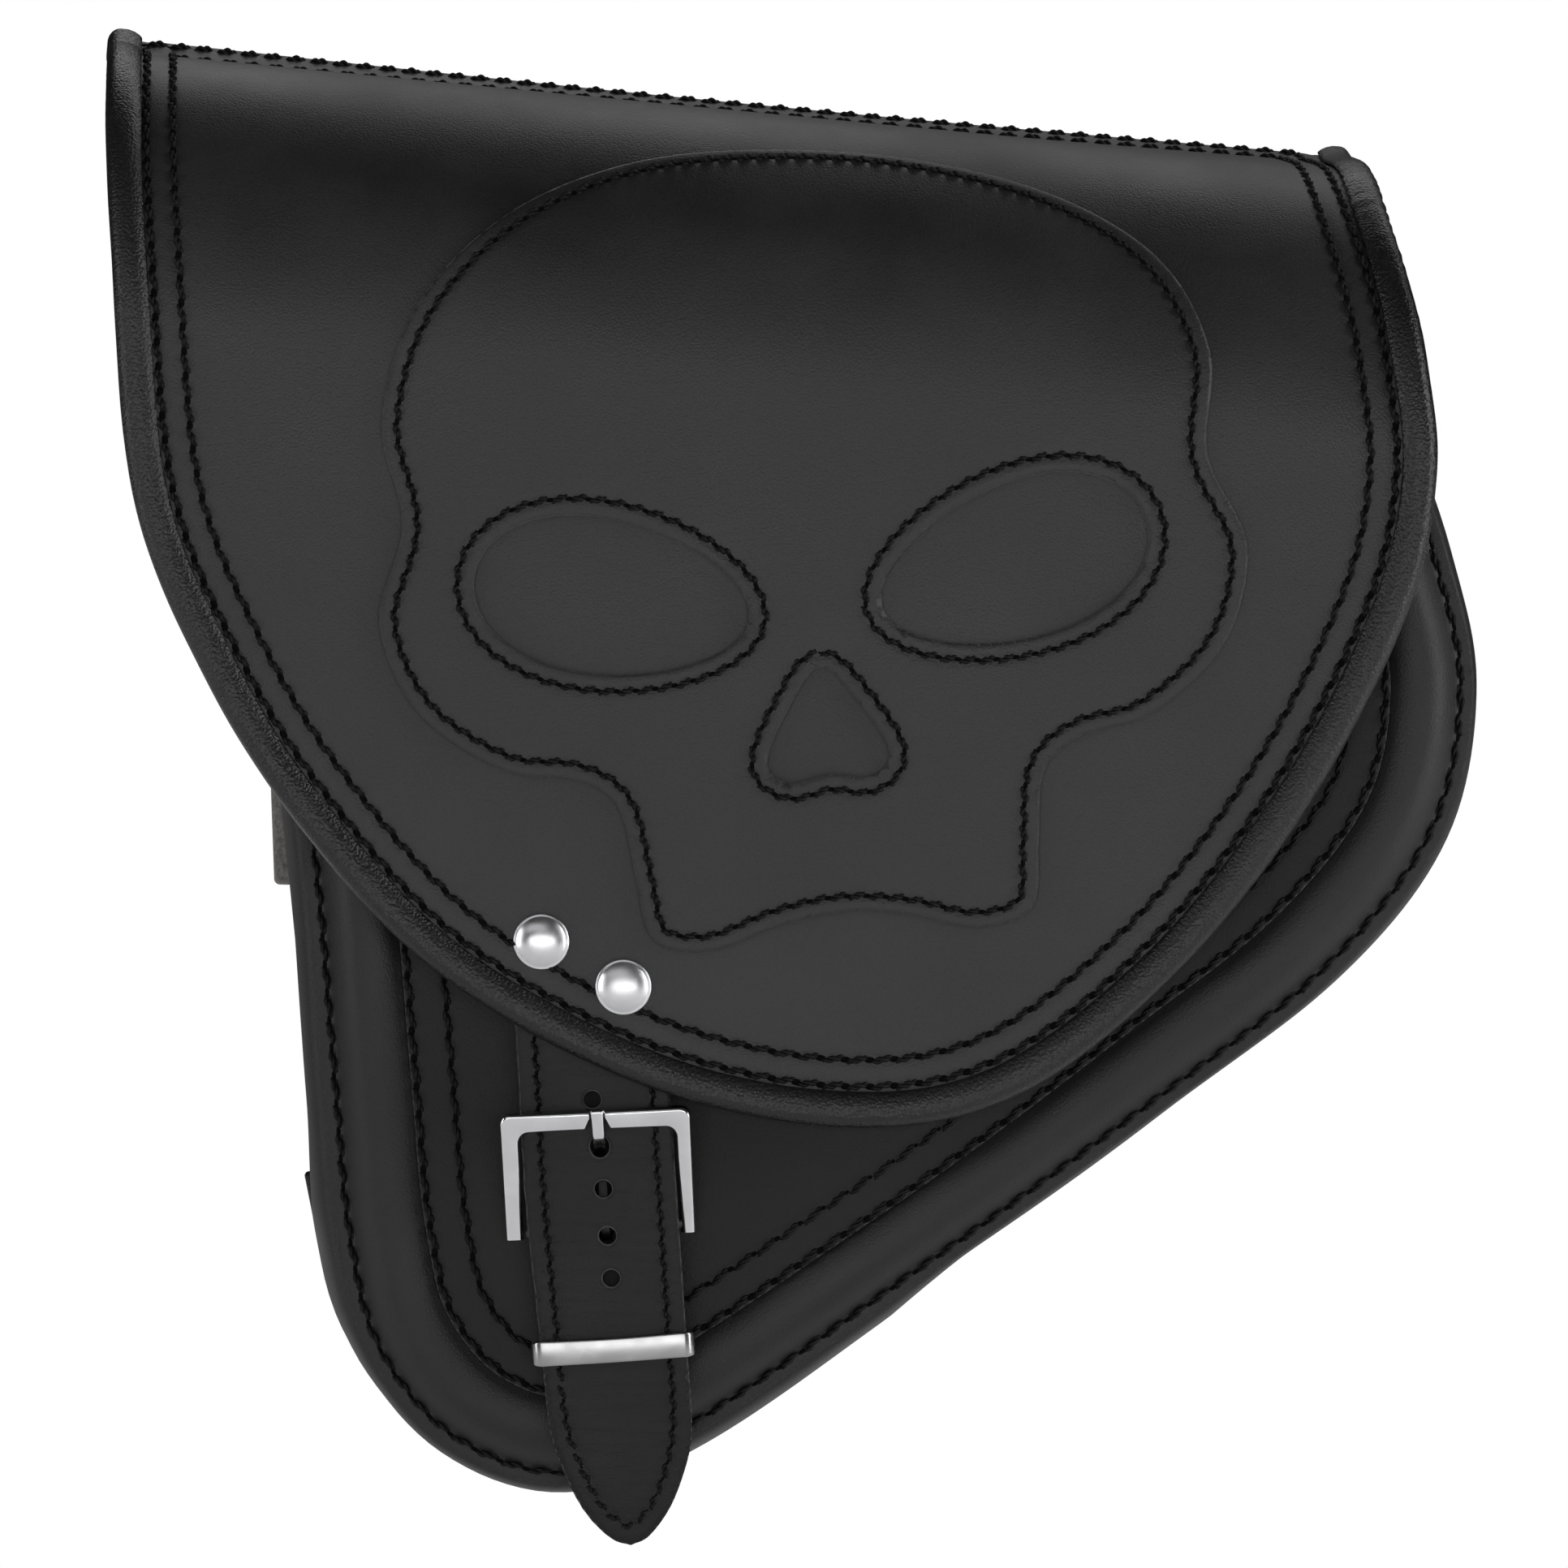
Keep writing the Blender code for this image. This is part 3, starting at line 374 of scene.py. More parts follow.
def sheet(name, outline, place, low, height, materials, holes=(), edge=None, rings=(), spacing=5.0,
          worn=0.0):
    """Closed leather sheet; height(spots, distance from the edge line) gives its upper face.

    The materials are those of the upper face, the lower face, the walls and the worn rim.
    """
    border = close(outline) if edge is None else edge
    loops = [border] + [close(hole) for hole in holes]
    extra = []
    for inset in rings:
        for loop in loops:
            for side in (1, -1):
                finest = run_lengths(loop)[-1] / 30
                extra.append(offset(even(loop, min(finest, max(1.5, min(spacing, 3.0)))), side * inset))
    points = np.vstack(extra + [grid_points(outline, spacing)])
    away = np.min([distance(points, loop) for loop in loops], axis=0)
    true_ring = np.ones(len(points), bool)
    start = 0
    for index, ring in enumerate(extra):
        inset = rings[index // (2 * len(loops))]
        true_ring[start:start + len(ring)] = away[start:start + len(ring)] > inset - 0.05
        start += len(ring)
    true_ring[start:] = away[start:] > (rings[-1] if len(rings) else 0) + spacing * 0.45
    keep = true_ring & inside(points, outline)
    clear = distance(points, close(outline)) > 0.2
    spots, faces = triangulate(outline, holes, points[keep & clear])
    count = len(spots)
    gap = np.min([distance(spots, loop) for loop in loops], axis=0)
    top = place(spots[:, 0], spots[:, 1], height(spots, gap))
    bottom = place(spots[:, 0], spots[:, 1], np.full(count, float(low)))
    edges = {}
    for face in faces:
        for first, second in zip(face, np.roll(face, -1)):
            edges[(first, second)] = True
    rim = [(a, b) for a, b in edges if (b, a) not in edges]
    walls = [(a + count, b + count, b, a) for a, b in rim]
    everything = faces.tolist() + (faces[:, ::-1] + count).tolist()
    everything += [tuple(map(int, wall)) for wall in walls]
    slots = [3 if rim_gap < worn else 0 for rim_gap in gap[faces].mean(axis=1)]
    slots += [1] * len(faces) + [2] * len(walls)
    return build(name, np.vstack((top, bottom)), everything, materials, slots)


def tube(name, rings, materials, closed=False, sharp=40):
    """Skin over rings of points, shape (stations, around, 3), in world metres."""
    stations, around = rings.shape[:2]
    verts = rings.reshape(-1, 3)
    faces = []
    for row in range(stations if closed else stations - 1):
        after = (row + 1) % stations
        for column in range(around):
            beside = (column + 1) % around
            faces.append((row * around + column, row * around + beside,
                          after * around + beside, after * around + column))
    if not closed:
        faces.append(tuple(range(around))[::-1])
        faces.append(tuple((stations - 1) * around + column for column in range(around)))
    thing = build(name, verts, faces, materials, sharp=sharp)
    return face_out(thing)


def face_out(thing):
    """Turn the mesh so that its faces point outwards."""
    mesh = thing.data
    mesh.calc_loop_triangles()
    spots = np.array([vert.co for vert in mesh.vertices])
    corners = spots[np.array([tri.vertices for tri in mesh.loop_triangles])]
    volume = np.einsum("ij,ij->i", corners[:, 0], np.cross(corners[:, 1], corners[:, 2])).sum()
    if volume < 0:
        mesh.flip_normals()
    return thing


def swept(name, line, place, materials, shape_at, sharp):
    """Section (inwards, out) carried along a drawing line; left of the line is inwards."""
    rings = []
    for index, (spot, side) in enumerate(zip(line, left_normals(line))):
        shape = shape_at(index)
        x = spot[0] + side[0] * shape[:, 0]
        y = spot[1] + side[1] * shape[:, 0]
        rings.append(place(x, y, shape[:, 1]))
    return tube(name, np.array(rings), materials, sharp=sharp)


def turned(name, profile, place, centre, materials, steps, sharp):
    """Round piece: profile of radius and height, standing on a drawing point."""
    rings = []
    for radius, height in profile:
        x, y = circle(centre, max(radius, 0.01), steps).T
        rings.append(place(x, y, np.full(steps, float(height))))
    return tube(name, np.array(rings), materials, sharp=sharp)


def stitches(name, path, place, pitch, height, radius):
    """Row of twisted thread stitches; each one rises from a hole and goes down into the next."""
    lengths = run_lengths(path)
    count = max(1, round(lengths[-1] / pitch))
    step = lengths[-1] / count
    parts, around, strands = 9, 6, 2
    part = np.linspace(0, 1, parts)
    starts = (np.arange(count) + 0.07) * step
    runs = starts[:, None] + part[None, :] * step * 0.86
    flat = runs.ravel()
    centre = along_line(path, flat).reshape(count, parts, 2)
    ahead = along_line(path, np.minimum(flat + 0.4, lengths[-1])).reshape(count, parts, 2)
    behind = along_line(path, np.maximum(flat - 0.4, 0)).reshape(count, parts, 2)
    way = ahead - behind
    way /= np.linalg.norm(way, axis=2)[..., None]
    side = np.stack((-way[..., 1], way[..., 0]), axis=2)
    lift = np.sin(math.pi * part) ** 0.55
    rise = height - 0.35 + 0.85 * lift
    drift = STITCH_SLANT * (part - 0.5) * 2
    thick = 0.45 + 0.55 * np.sin(math.pi * np.clip(part, 0.03, 0.97)) ** 0.4
    rows, faces = [], []
    ring = turns(around)
    jitter = np.sin(np.arange(count) * 2.399)
    for strand in range(strands):
        twist = 2 * math.pi * 1.15 * part + math.pi * strand
        twist = twist[None, :] + jitter[:, None] * 0.7
        across = drift[None, :] + 0.9 * radius * np.cos(twist) * thick
        lifted = rise[None, :] + 0.9 * radius * np.sin(twist) * thick
        ring_across = across[..., None] + radius * thick[None, :, None] * np.cos(ring)
        ring_lifted = lifted[..., None] + radius * thick[None, :, None] * np.sin(ring)
        x = centre[..., 0][..., None] + side[..., 0][..., None] * ring_across
        y = centre[..., 1][..., None] + side[..., 1][..., None] * ring_across
        rows.append(place(x.ravel(), y.ravel(), ring_lifted.ravel()))
        base = strand * count * parts * around
        for stitch in range(count):
            start = base + stitch * parts * around
            for a in range(parts - 1):
                for b in range(around):
                    c = (b + 1) % around
                    low, high = start + a * around, start + (a + 1) * around
                    faces.append((low + b, high + b, high + c, low + c))
            faces.append(tuple(start + b for b in range(around)))
            faces.append(tuple(start + (parts - 1) * around + b for b in range(around))[::-1])
    return face_out(build(name, np.vstack(rows), faces, [THREAD], sharp=80))


def stitch_holes(name, path, place, pitch, height, closed, reach):
    """Near-black thin lens shapes lying on the leather between the stitches, painted as the shade in pressed
    needle holes.
    """
    lengths = run_lengths(path)
    count = max(1, round(lengths[-1] / pitch))
    runs = np.arange(count + (0 if closed else 1)) * lengths[-1] / count
    centres = along_line(path, runs)
    ways = along_line(path, np.minimum(runs + 0.5, lengths[-1]))
    ways -= along_line(path, np.maximum(runs - 0.5, 0))
    ways /= np.linalg.norm(ways, axis=1)[:, None]
    around = 12
    ring = turns(around)
    spots, faces = [], []
    for index, centre in enumerate(centres):
        base = index * (around + 2)
        way = ways[index]
        ahead, aside = reach[0] * np.cos(ring), reach[1] * np.sin(ring)
        x = np.concatenate((centre[0] + ahead * way[0] - aside * way[1], centre[:1], centre[:1]))
        y = np.concatenate((centre[1] + ahead * way[1] + aside * way[0], centre[1:], centre[1:]))
        out = np.concatenate((np.full(around, height - 0.14), (height + 0.14, height - 0.3)))
        spots.append(place(x, y, out))
        for b in range(around):
            c = (b + 1) % around
            faces.append((base + b, base + c, base + around))
            faces.append((base + c, base + b, base + around + 1))
    return face_out(build(name, np.vstack(spots), faces, [HOLE_SHADE]))


def row(name, line, place, pitch, height, body=None, closed=False, radius=THREAD_RADIUS, reach=HOLE_SHADE_REACH):
    """Stitches and the painted shade of their needle holes, riding on one body if it is named."""
    path = close(line) if closed else line
    made = [stitches(name, path, place, pitch, height, radius),
            stitch_holes(name + "_hole_shades", path, place, pitch, height, closed, reach)]
    if body:
        for thing in made:
            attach(thing, body)
    return made


def stand_for(thing, body, *nodes):
    """The piece rides on a body and stands for CAD nodes."""
    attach(thing, body)
    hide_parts(*nodes)


# ---------------------------------------------------------------- materials


def nodes_of(name):
    made = bpy.data.materials.new(name)
    made.use_nodes = True
    tree = made.node_tree
    return made, tree, tree.nodes["Principled BSDF"]


def spot_of(tree):
    return add(tree, "ShaderNodeTexCoord").outputs["Object"]


def add(tree, kind, **values):
    node = tree.nodes.new(kind)
    for key, value in values.items():
        if hasattr(node, key):
            setattr(node, key, value)
        else:
            node.inputs[key.replace("_", " ")].default_value = value
    return node


def feed(tree, node, **sources):
    """Link outputs to a node's inputs, or set them to plain values."""
    for key, source in sources.items():
        socket = node.inputs[key.replace("_", " ")]
        if isinstance(source, bpy.types.NodeSocket):
            tree.links.new(source, socket)
        else:
            socket.default_value = source


def grey(level):
    return (level, level, level)


def ramp(tree, source, low, high, at=(0.3, 0.7)):
    node = add(tree, "ShaderNodeValToRGB")
    for element, place, colour in zip(node.color_ramp.elements, at, (low, high)):
        element.position = place
        element.color = (*colour, 1)
    feed(tree, node, Fac=source)
    return node.outputs["Color"]


def noise(tree, where, scale, detail, roughness=0.5, distortion=0.0):
    node = add(tree, "ShaderNodeTexNoise", Scale=scale, Detail=detail, Roughness=roughness,
               Distortion=distortion)
    feed(tree, node, Vector=where)
    return node.outputs["Fac"]


def stretched(tree, where, scales):
    node = add(tree, "ShaderNodeMapping", Scale=scales)
    feed(tree, node, Vector=where)
    return node.outputs["Vector"]


def bump(tree, height, strength, depth, below=None, invert=False):
    """Relief, depth in mm, on top of the relief below it."""
    node = add(tree, "ShaderNodeBump", Strength=strength, Distance=depth * MM, invert=invert)
    feed(tree, node, Height=height)
    if below is not None:
        feed(tree, node, Normal=below)
    return node.outputs["Normal"]


def multiplied(tree, share, one, two):
    mix = add(tree, "ShaderNodeMix", data_type="RGBA", blend_type="MULTIPLY")
    mix.inputs[0].default_value = share
    tree.links.new(one, mix.inputs[6])
    tree.links.new(two, mix.inputs[7])
    return mix.outputs[2]


def leather(name, dark, light, rough=(0.42, 0.56), grain=1800.0, grain_depth=0.10, creases=0.0, shine=0.42):
    """Fine pebbled leather: two grains, slow changes of colour, gloss and height, and wrinkles if asked."""
    made, tree, shader = nodes_of(name)
    where = spot_of(tree)
    cells = add(tree, "ShaderNodeTexVoronoi", feature="SMOOTH_F1", Scale=grain, Smoothness=0.6)
    feed(tree, cells, Vector=where)
    pebbles = cells.outputs["Distance"]
    pores = noise(tree, where, grain * 1.9, 4.0, 0.65)
    slow = noise(tree, where, 22.0, 5.0, 0.55)
    relief = add(tree, "ShaderNodeMath", operation="MULTIPLY_ADD")
    relief.inputs[1].default_value = 0.45
    tree.links.new(pores, relief.inputs[0])
    tree.links.new(pebbles, relief.inputs[2])
    below = bump(tree, noise(tree, where, 9.0, 2.0), 0.5, 0.35)
    if creases:
        lines = noise(tree, stretched(tree, where, (55.0, 55.0, 420.0)), 1.0, 5.0, 0.6, 0.5)
        below = bump(tree, lines, 0.8, creases, below)
    shade = ramp(tree, pebbles, grey(1.25), grey(0.55), (0.1, 0.75))
    feed(tree, shader, Base_Color=multiplied(tree, 0.5, ramp(tree, slow, dark, light), shade),
         Roughness=ramp(tree, slow, grey(rough[0]), grey(rough[1])), Specular_IOR_Level=shine,
         Normal=bump(tree, relief.outputs[0], 0.55, grain_depth, below, invert=True))
    return made


def raw_leather(name, dark, light, scale=900.0):
    """Cut or flesh side: matt, fibrous."""
    made, tree, shader = nodes_of(name)
    where = spot_of(tree)
    fibres = noise(tree, where, scale, 6.0, 0.75, 0.6)
    patches = ramp(tree, noise(tree, where, 60.0, 4.0), grey(0.6), grey(1.2))
    colour = multiplied(tree, 0.7, ramp(tree, fibres, dark, light, (0.35, 0.68)), patches)
    feed(tree, shader, Base_Color=colour, Roughness=0.9, Sheen_Weight=0.25,
         Normal=bump(tree, fibres, 0.8, 0.25))
    return made


def thread_material():
    made, tree, shader = nodes_of("thread_black")
    where = spot_of(tree)
    colour = ramp(tree, noise(tree, where, 70.0, 2.0), (0.0012, 0.0012, 0.0013), (0.0045, 0.0045, 0.0048))
    feed(tree, shader, Base_Color=colour, Roughness=0.58, Specular_IOR_Level=0.20,
         Normal=bump(tree, noise(tree, where, 2600.0, 3.0), 0.6, 0.12))
    return made


def hole_shade_material():
    """Near-black painted shade for the inside of a needle hole."""
    made, tree, shader = nodes_of("stitch_hole_painted_shade")
    colour = ramp(tree, noise(tree, spot_of(tree), 1500.0, 2.0), grey(0.001), grey(0.004))
    feed(tree, shader, Base_Color=colour, Roughness=0.95, Specular_IOR_Level=0.08)
    return made


def metal(name, colour, rough, scratch=0.05, brushed=False):
    """Bright metal with faint scratches and slight gloss changes."""
    made, tree, shader = nodes_of(name)
    where = spot_of(tree)
    scales = (60.0, 60.0, 2600.0) if brushed else grey(700.0)
    lines = noise(tree, stretched(tree, where, scales), 1.0, 4.0, 0.6)
    cloud = noise(tree, where, 120.0, 4.0)
    feed(tree, shader, Metallic=1.0,
         Base_Color=ramp(tree, cloud, tuple(part * 0.9 for part in colour), colour),
         Roughness=ramp(tree, cloud, grey(rough), grey(rough * 1.8)),
         Normal=bump(tree, lines, scratch, 0.03))
    return made


LEATHER = leather("leather_black", (0.012, 0.012, 0.0133), (0.021, 0.0205, 0.022), grain_depth=0.16,
                  shine=0.48)
# Body leather is darker than the lid's: partly its own tone, partly painted shade from the lid hanging over
# it.
BODY_LEATHER = leather("leather_body", (0.0085, 0.0085, 0.0095), (0.0145, 0.014, 0.015), rough=(0.46, 0.60),
                       grain_depth=0.17)
BINDING = leather("leather_binding", (0.008, 0.008, 0.008), (0.014, 0.0138, 0.0135), rough=(0.25, 0.38),
                  grain=1350.0, grain_depth=0.36)
STRAP = leather("leather_strap", (0.0044, 0.0044, 0.0048), (0.0075, 0.0073, 0.0077), rough=(0.38, 0.52),
                grain=2000.0, grain_depth=0.13, creases=0.35, shine=0.28)
# Inner panel leather: its darker colour than the border's is painted shade for how the flat panel faces the
# light; its lower sheen is the leather's own.
PANEL_LEATHER = leather("leather_panel", (0.0055, 0.0055, 0.006), (0.0095, 0.0092, 0.0098),
                        rough=(0.50, 0.62), grain_depth=0.17, shine=0.30)
# Leather painted near-black for the chape, as the shade behind the strap where it shows through the holes.
CHAPE_SHADE_LEATHER = leather("leather_painted_shade", (0.002, 0.002, 0.002), (0.004, 0.004, 0.004), shine=0.15)
WORN = raw_leather("leather_worn_rim", (0.010, 0.010, 0.011), (0.048, 0.046, 0.045), 1400.0)
FLESH = raw_leather("leather_flesh", (0.035, 0.031, 0.028), (0.085, 0.076, 0.068))
CUT = raw_leather("leather_cut", (0.012, 0.011, 0.010), (0.11, 0.10, 0.09), 1400.0)
SUEDE = raw_leather("leather_suede", (0.05, 0.047, 0.045), (0.20, 0.19, 0.18), 700.0)
BOARD = raw_leather("board_fibre", (0.03, 0.026, 0.02), (0.07, 0.06, 0.05), 500.0)
THREAD = thread_material()
# Dark lenses at the needle holes: painted shade.
HOLE_SHADE = hole_shade_material()
CHROME = metal("chrome_bright", (0.80, 0.80, 0.82), 0.09)
CAP_CHROME = metal("chrome_cap", (0.74, 0.74, 0.76), 0.22)
POLISHED = metal("steel_polished", (0.37, 0.37, 0.37), 0.18, 0.08, brushed=True)
STEEL = metal("steel_satin", (0.56, 0.57, 0.58), 0.24, 0.15)
# Steel painted dark for the heel bar and the snap, as shade behind the strap.
SHADE_DARK_STEEL = metal("steel_dark_painted_shade", (0.10, 0.10, 0.105), 0.34, 0.15)
# Near-black steel painted as shade on the tongue where it lies behind the strap.
TONGUE_SHADE_STEEL = metal("steel_tongue_painted_shade", (0.028, 0.028, 0.030), 0.42, 0.15)


# ---------------------------------------------------------------- lid


def lid_line(inset, spacing=4.0):
    """Line in the lid's pattern, set in from the binding's outside, open at the hinge line."""
    line = smooth([(x, -run) for x, run in LID_EDGE], 10)
    line = offset(line, inset)
    line = even(line, spacing)
    line[0][1] = line[-1][1] = 0.0
    return line


def lid_leather():
    edge = lid_line(BINDING_LIP)
    rear = np.linspace(edge[-1], edge[0], 80)[1:-1]

    def height(spots, gap):
        seams = sum(groove(gap, inset - BINDING_LIP, 1.3) for inset in LID_ROWS)
        return -0.32 * (seams + 0.8 * groove(gap, BINDING_REACH, 1.0))

    rings = (5.4, 6.9, 7.6, 8.3, 9.0, 10.2, 12.0, 13.8, 14.5, 15.2, 16.2, 18.0)
    thing = sheet("lid_cover", np.vstack((edge, rear)), on_lid, -LID_THICKNESS, height,
                  [LEATHER, FLESH, CUT], edge=edge, rings=rings)
    stand_for(thing, "lid", "lid_leather")


def binding_section():
    """Rolled edge, closed section: inwards from the lid's cut edge, and out from its face."""
    seat = ((BINDING_REACH, 0.30), (-0.3, 0.3), (-0.3, -3.8), (7.0, -3.8))
    under = ((7.1, -4.4), (6.2, -4.9), (3.4, -5.0))
    bead = np.array((1.3, -1.2)) + arc((0, 0), 1.0, 270, 90, 14) * (3.4, 3.8)
    over = ((3.2, 2.55), (4.8, 2.1), (6.0, 1.45), (6.7, 0.9), (6.95, 0.5))
    return np.vstack((seat, under, bead, over))


def lid_binding():
    """The roll puckers where it goes round the bends; the seat against the lid stays true."""
    line = lid_line(BINDING_LIP, 2.2)
    lengths = run_lengths(line)
    section = binding_section()
    middle = np.array((1.6, -1.2))

    def puckered(index):
        run = lengths[index]
        left = lengths[-1] - run
        bend = groove(left, 66, 34) + 0.08 * groove(run, 60, 40)
        pucker = 0.30 * bend * math.sin(run * 1.25 + 0.6 * math.sin(run * 0.31))
        slow = 0.06 * math.sin(run * 0.09) + 0.03 * math.sin(run * 0.23 + 1)
        shape = middle + (section - middle) * (1 + (pucker + slow) / 4)
        shape[:4] = section[:4]
        return shape

    stand_for(swept("lid_edge_binding", line, on_lid, [BINDING], puckered, 50), "lid", "lid_binding")


def lid_stitching():
    for order, inset in enumerate(LID_ROWS):
        line = lid_line(inset, SEAM_SPACING)
        near_corner = np.clip(1 + line[:, 1] / 100, 0, 1) ** 1.5 * (line[:, 0] > 200)
        line[:, 0] -= LID_ROWS_CORNER * near_corner
        back = -(2.6 + order * 8.4)
        line = line[line[:, 1] < back - 1.0]
        row("lid_row_%d" % (order + 1), line, on_lid, LID_PITCH, -0.1, "lid")
        ends = np.array(((line[0][0] - 0.5, back), (line[-1][0] + 0.5, back)))
        row("lid_top_row_%d" % (order + 1), even(ends, 6.0), on_lid, LID_PITCH, -0.15, "lid")


# ---------------------------------------------------------------- appliqué


def turned_by(points, angle):
    """Points turned about the origin."""
    x = points[:, 0] * math.cos(angle) - points[:, 1] * math.sin(angle)
    y = points[:, 0] * math.sin(angle) + points[:, 1] * math.cos(angle)
    return np.stack((x, y), axis=1)


def skull_place(points, side=1):
    points = np.asarray(points, float) * (side, 1)
    return turned_by(points, SKULL_TURN) + (SKULL_CENTRE[0], -SKULL_CENTRE[1])


def skull_eye(side, grow=0.0):
    """Oval, a little taller towards the temple."""
    unit = circle((0, 0), 1.0, 72)
    x = unit[:, 0] * (SKULL_EYE_RADII[0] + grow)
    y = unit[:, 1] * (SKULL_EYE_RADII[1] * (1 + 0.16 * unit[:, 0]) + grow)
    line = skull_place(turned_by(np.stack((x, y), axis=1), SKULL_EYE_TURN) + SKULL_EYE, side)
    return line if side > 0 else line[::-1]


def skull_outline():
    whole = list(SKULL_HALF) + [(-x, y) for x, y in reversed(SKULL_HALF[1:-1])]
    return skull_place(smooth(whole, 8, closed=True))[::-1]


def skull_applique():
    outline = skull_outline()
    nose = skull_place(smooth(SKULL_NOSE, 8, closed=True))[::-1]

    def height(spots, gap):
        rounding = np.interp(gap, (0, 0.35, 0.9), (-0.55, -0.15, 0.0))
        return SKULL_TOP + rounding - 0.30 * groove(gap, SKULL_SEAM, 1.1)

    thing = sheet("skull_patch", outline, on_lid, 0.25, height, [LEATHER, CUT, CUT, WORN],
                  holes=[skull_eye(1), skull_eye(-1), nose],
                  rings=(0.35, 0.9, 2.6, 3.4, 3.9, 4.4, 5.3, 7.0), spacing=6.0, worn=0.3)
    stand_for(thing, "lid", "skull_applique")
    for name, line in (("skull_row", even(offset(outline, SKULL_SEAM, True), 2.0)),
                       ("skull_eye_row_right", skull_eye(1, SKULL_SEAM + 0.4)),
                       ("skull_eye_row_left", skull_eye(-1, SKULL_SEAM + 0.4)),
                       ("skull_nose_row", offset(nose, -SKULL_SEAM, True)[::-1])):
        row(name, line, on_lid, SKULL_PITCH, SKULL_TOP - 0.18, "lid", closed=True)


# ---------------------------------------------------------------- body


def border_scale(x):
    """The padded border is narrower along the slanting bottom than on the left."""
    return 1 + np.interp(x, (-60, 40, 60, 110), (0.0, 0.15, 0.15, 0.07))


def body_line(inset=0.0, spacing=4.0):
    """Line set in from the body's outline, open at the hinge line."""
    line = smooth(BODY_EDGE, 10)
    return even(offset(line, (inset / border_scale(line[:, 0]))[:, None]), spacing)


def below_hinge(line):
    """How far each point of a front drawing lies below the hinge line."""
    return (line[:, 0] - HINGE_LEFT[0]) * DOWN[0] + (line[:, 1] - HINGE_LEFT[2]) * DOWN[2]


def trimmed(line, level):
    """The part of an open line that lies below a level, with its ends exactly on it."""
    depth = below_hinge(line)
    lengths = run_lengths(line)
    low = int(np.argmax(depth))
    start = np.interp(level, depth[:low + 1], lengths[:low + 1])
    end = np.interp(-level, -depth[low:], lengths[low:])
    return along_line(line, np.linspace(start, end, len(line)))


def mouth_level(forward):
    """Top edge of the gusset, from the back panel to the front panel."""
    part = np.linspace(0, 1, 24)
    ahead = 74 * (1 - part) ** 2 + 140 * part * (1 - part) + 40 * part ** 2
    down = FRONT_TOP * (1 - part) ** 2 + 84 * part * (1 - part) + 30 * part ** 2
    ahead = np.concatenate(((-20,), ahead[::-1]))
    return float(np.interp(forward, ahead, np.concatenate(((16,), down[::-1]))))


def puff(spots):
    """Slow unevenness of hand-made padding."""
    return 0.28 * np.sin(spots[:, 0] * 0.055 + 0.9) * np.cos(spots[:, 1] * 0.047) \
        + 0.16 * np.sin(spots[:, 0] * 0.12 + spots[:, 1] * 0.09)


def front_panel():
    edge = trimmed(body_line(0, SEAM_SPACING), FRONT_TOP)
    shape = smooth(BORDER, 5)

    def height(spots, gap):
        gap = gap * border_scale(spots[:, 0])
        out = np.interp(gap, shape[:, 0], shape[:, 1])
        soft = np.interp(gap, (4, 10, 18, 23), (0, 1, 1, 0))
        return out + puff(spots) * soft

    rings = (0.5, 1.4, 2.4, 3.2, 3.9, 4.8, 5.8, 7.0, 8.4, 10, 11.8, 13.6, 15.4, 17, 18.6, 20, 21.4, 23, 26)
    thing = sheet("front_padded", edge, on_front, -9.4, height, [BODY_LEATHER, FLESH, CUT, WORN], edge=edge,
                  rings=rings, spacing=8.0, worn=0.4)
    hollow_back(thing.data)
    stand_for(thing, "bag", "front_panel")
    seam = trimmed(body_line(BODY_ROWS[0], SEAM_SPACING), FRONT_TOP + 3)
    row("front_seam_row", seam, on_front, BODY_PITCH, -6.95, "bag")


def hollow_back(mesh):
    """Move the lower face of the padded panel to one leather thickness behind its upper face."""
    half = len(mesh.vertices) // 2
    for index in range(half):
        mesh.vertices[index + half].co.y = mesh.vertices[index].co.y + PADDED_THICKNESS * MM


def front_overlay():
    edge = trimmed(body_line(OVERLAY_INSET, SEAM_SPACING), FRONT_TOP)

    def height(spots, gap):
        rounding = np.interp(gap, (0, 0.35, 0.9), (-0.6, -0.15, 0.0))
        return rounding - 0.30 * sum(groove(gap, inset - OVERLAY_INSET, 1.2) for inset in BODY_ROWS[1:])

    rings = (0.35, 0.9, 1.5, 2.2, 2.9, 4.0, 8, 9.0, 9.8, 10.6, 11.2, 12.0, 13.2, 14, 16)
    thing = sheet("front_inner_panel", edge, on_front, -2.3, height, [PANEL_LEATHER, CUT, CUT, WORN],
                  edge=edge, rings=rings, spacing=8.0, worn=0.3)
    stand_for(thing, "bag", "front_overlay")
    for order, inset in enumerate(BODY_ROWS[1:]):
        line = trimmed(body_line(inset, SEAM_SPACING), FRONT_TOP + 4)
        row("front_row_%d" % (order + 1), line, on_front, BODY_PITCH, -0.12, "bag")


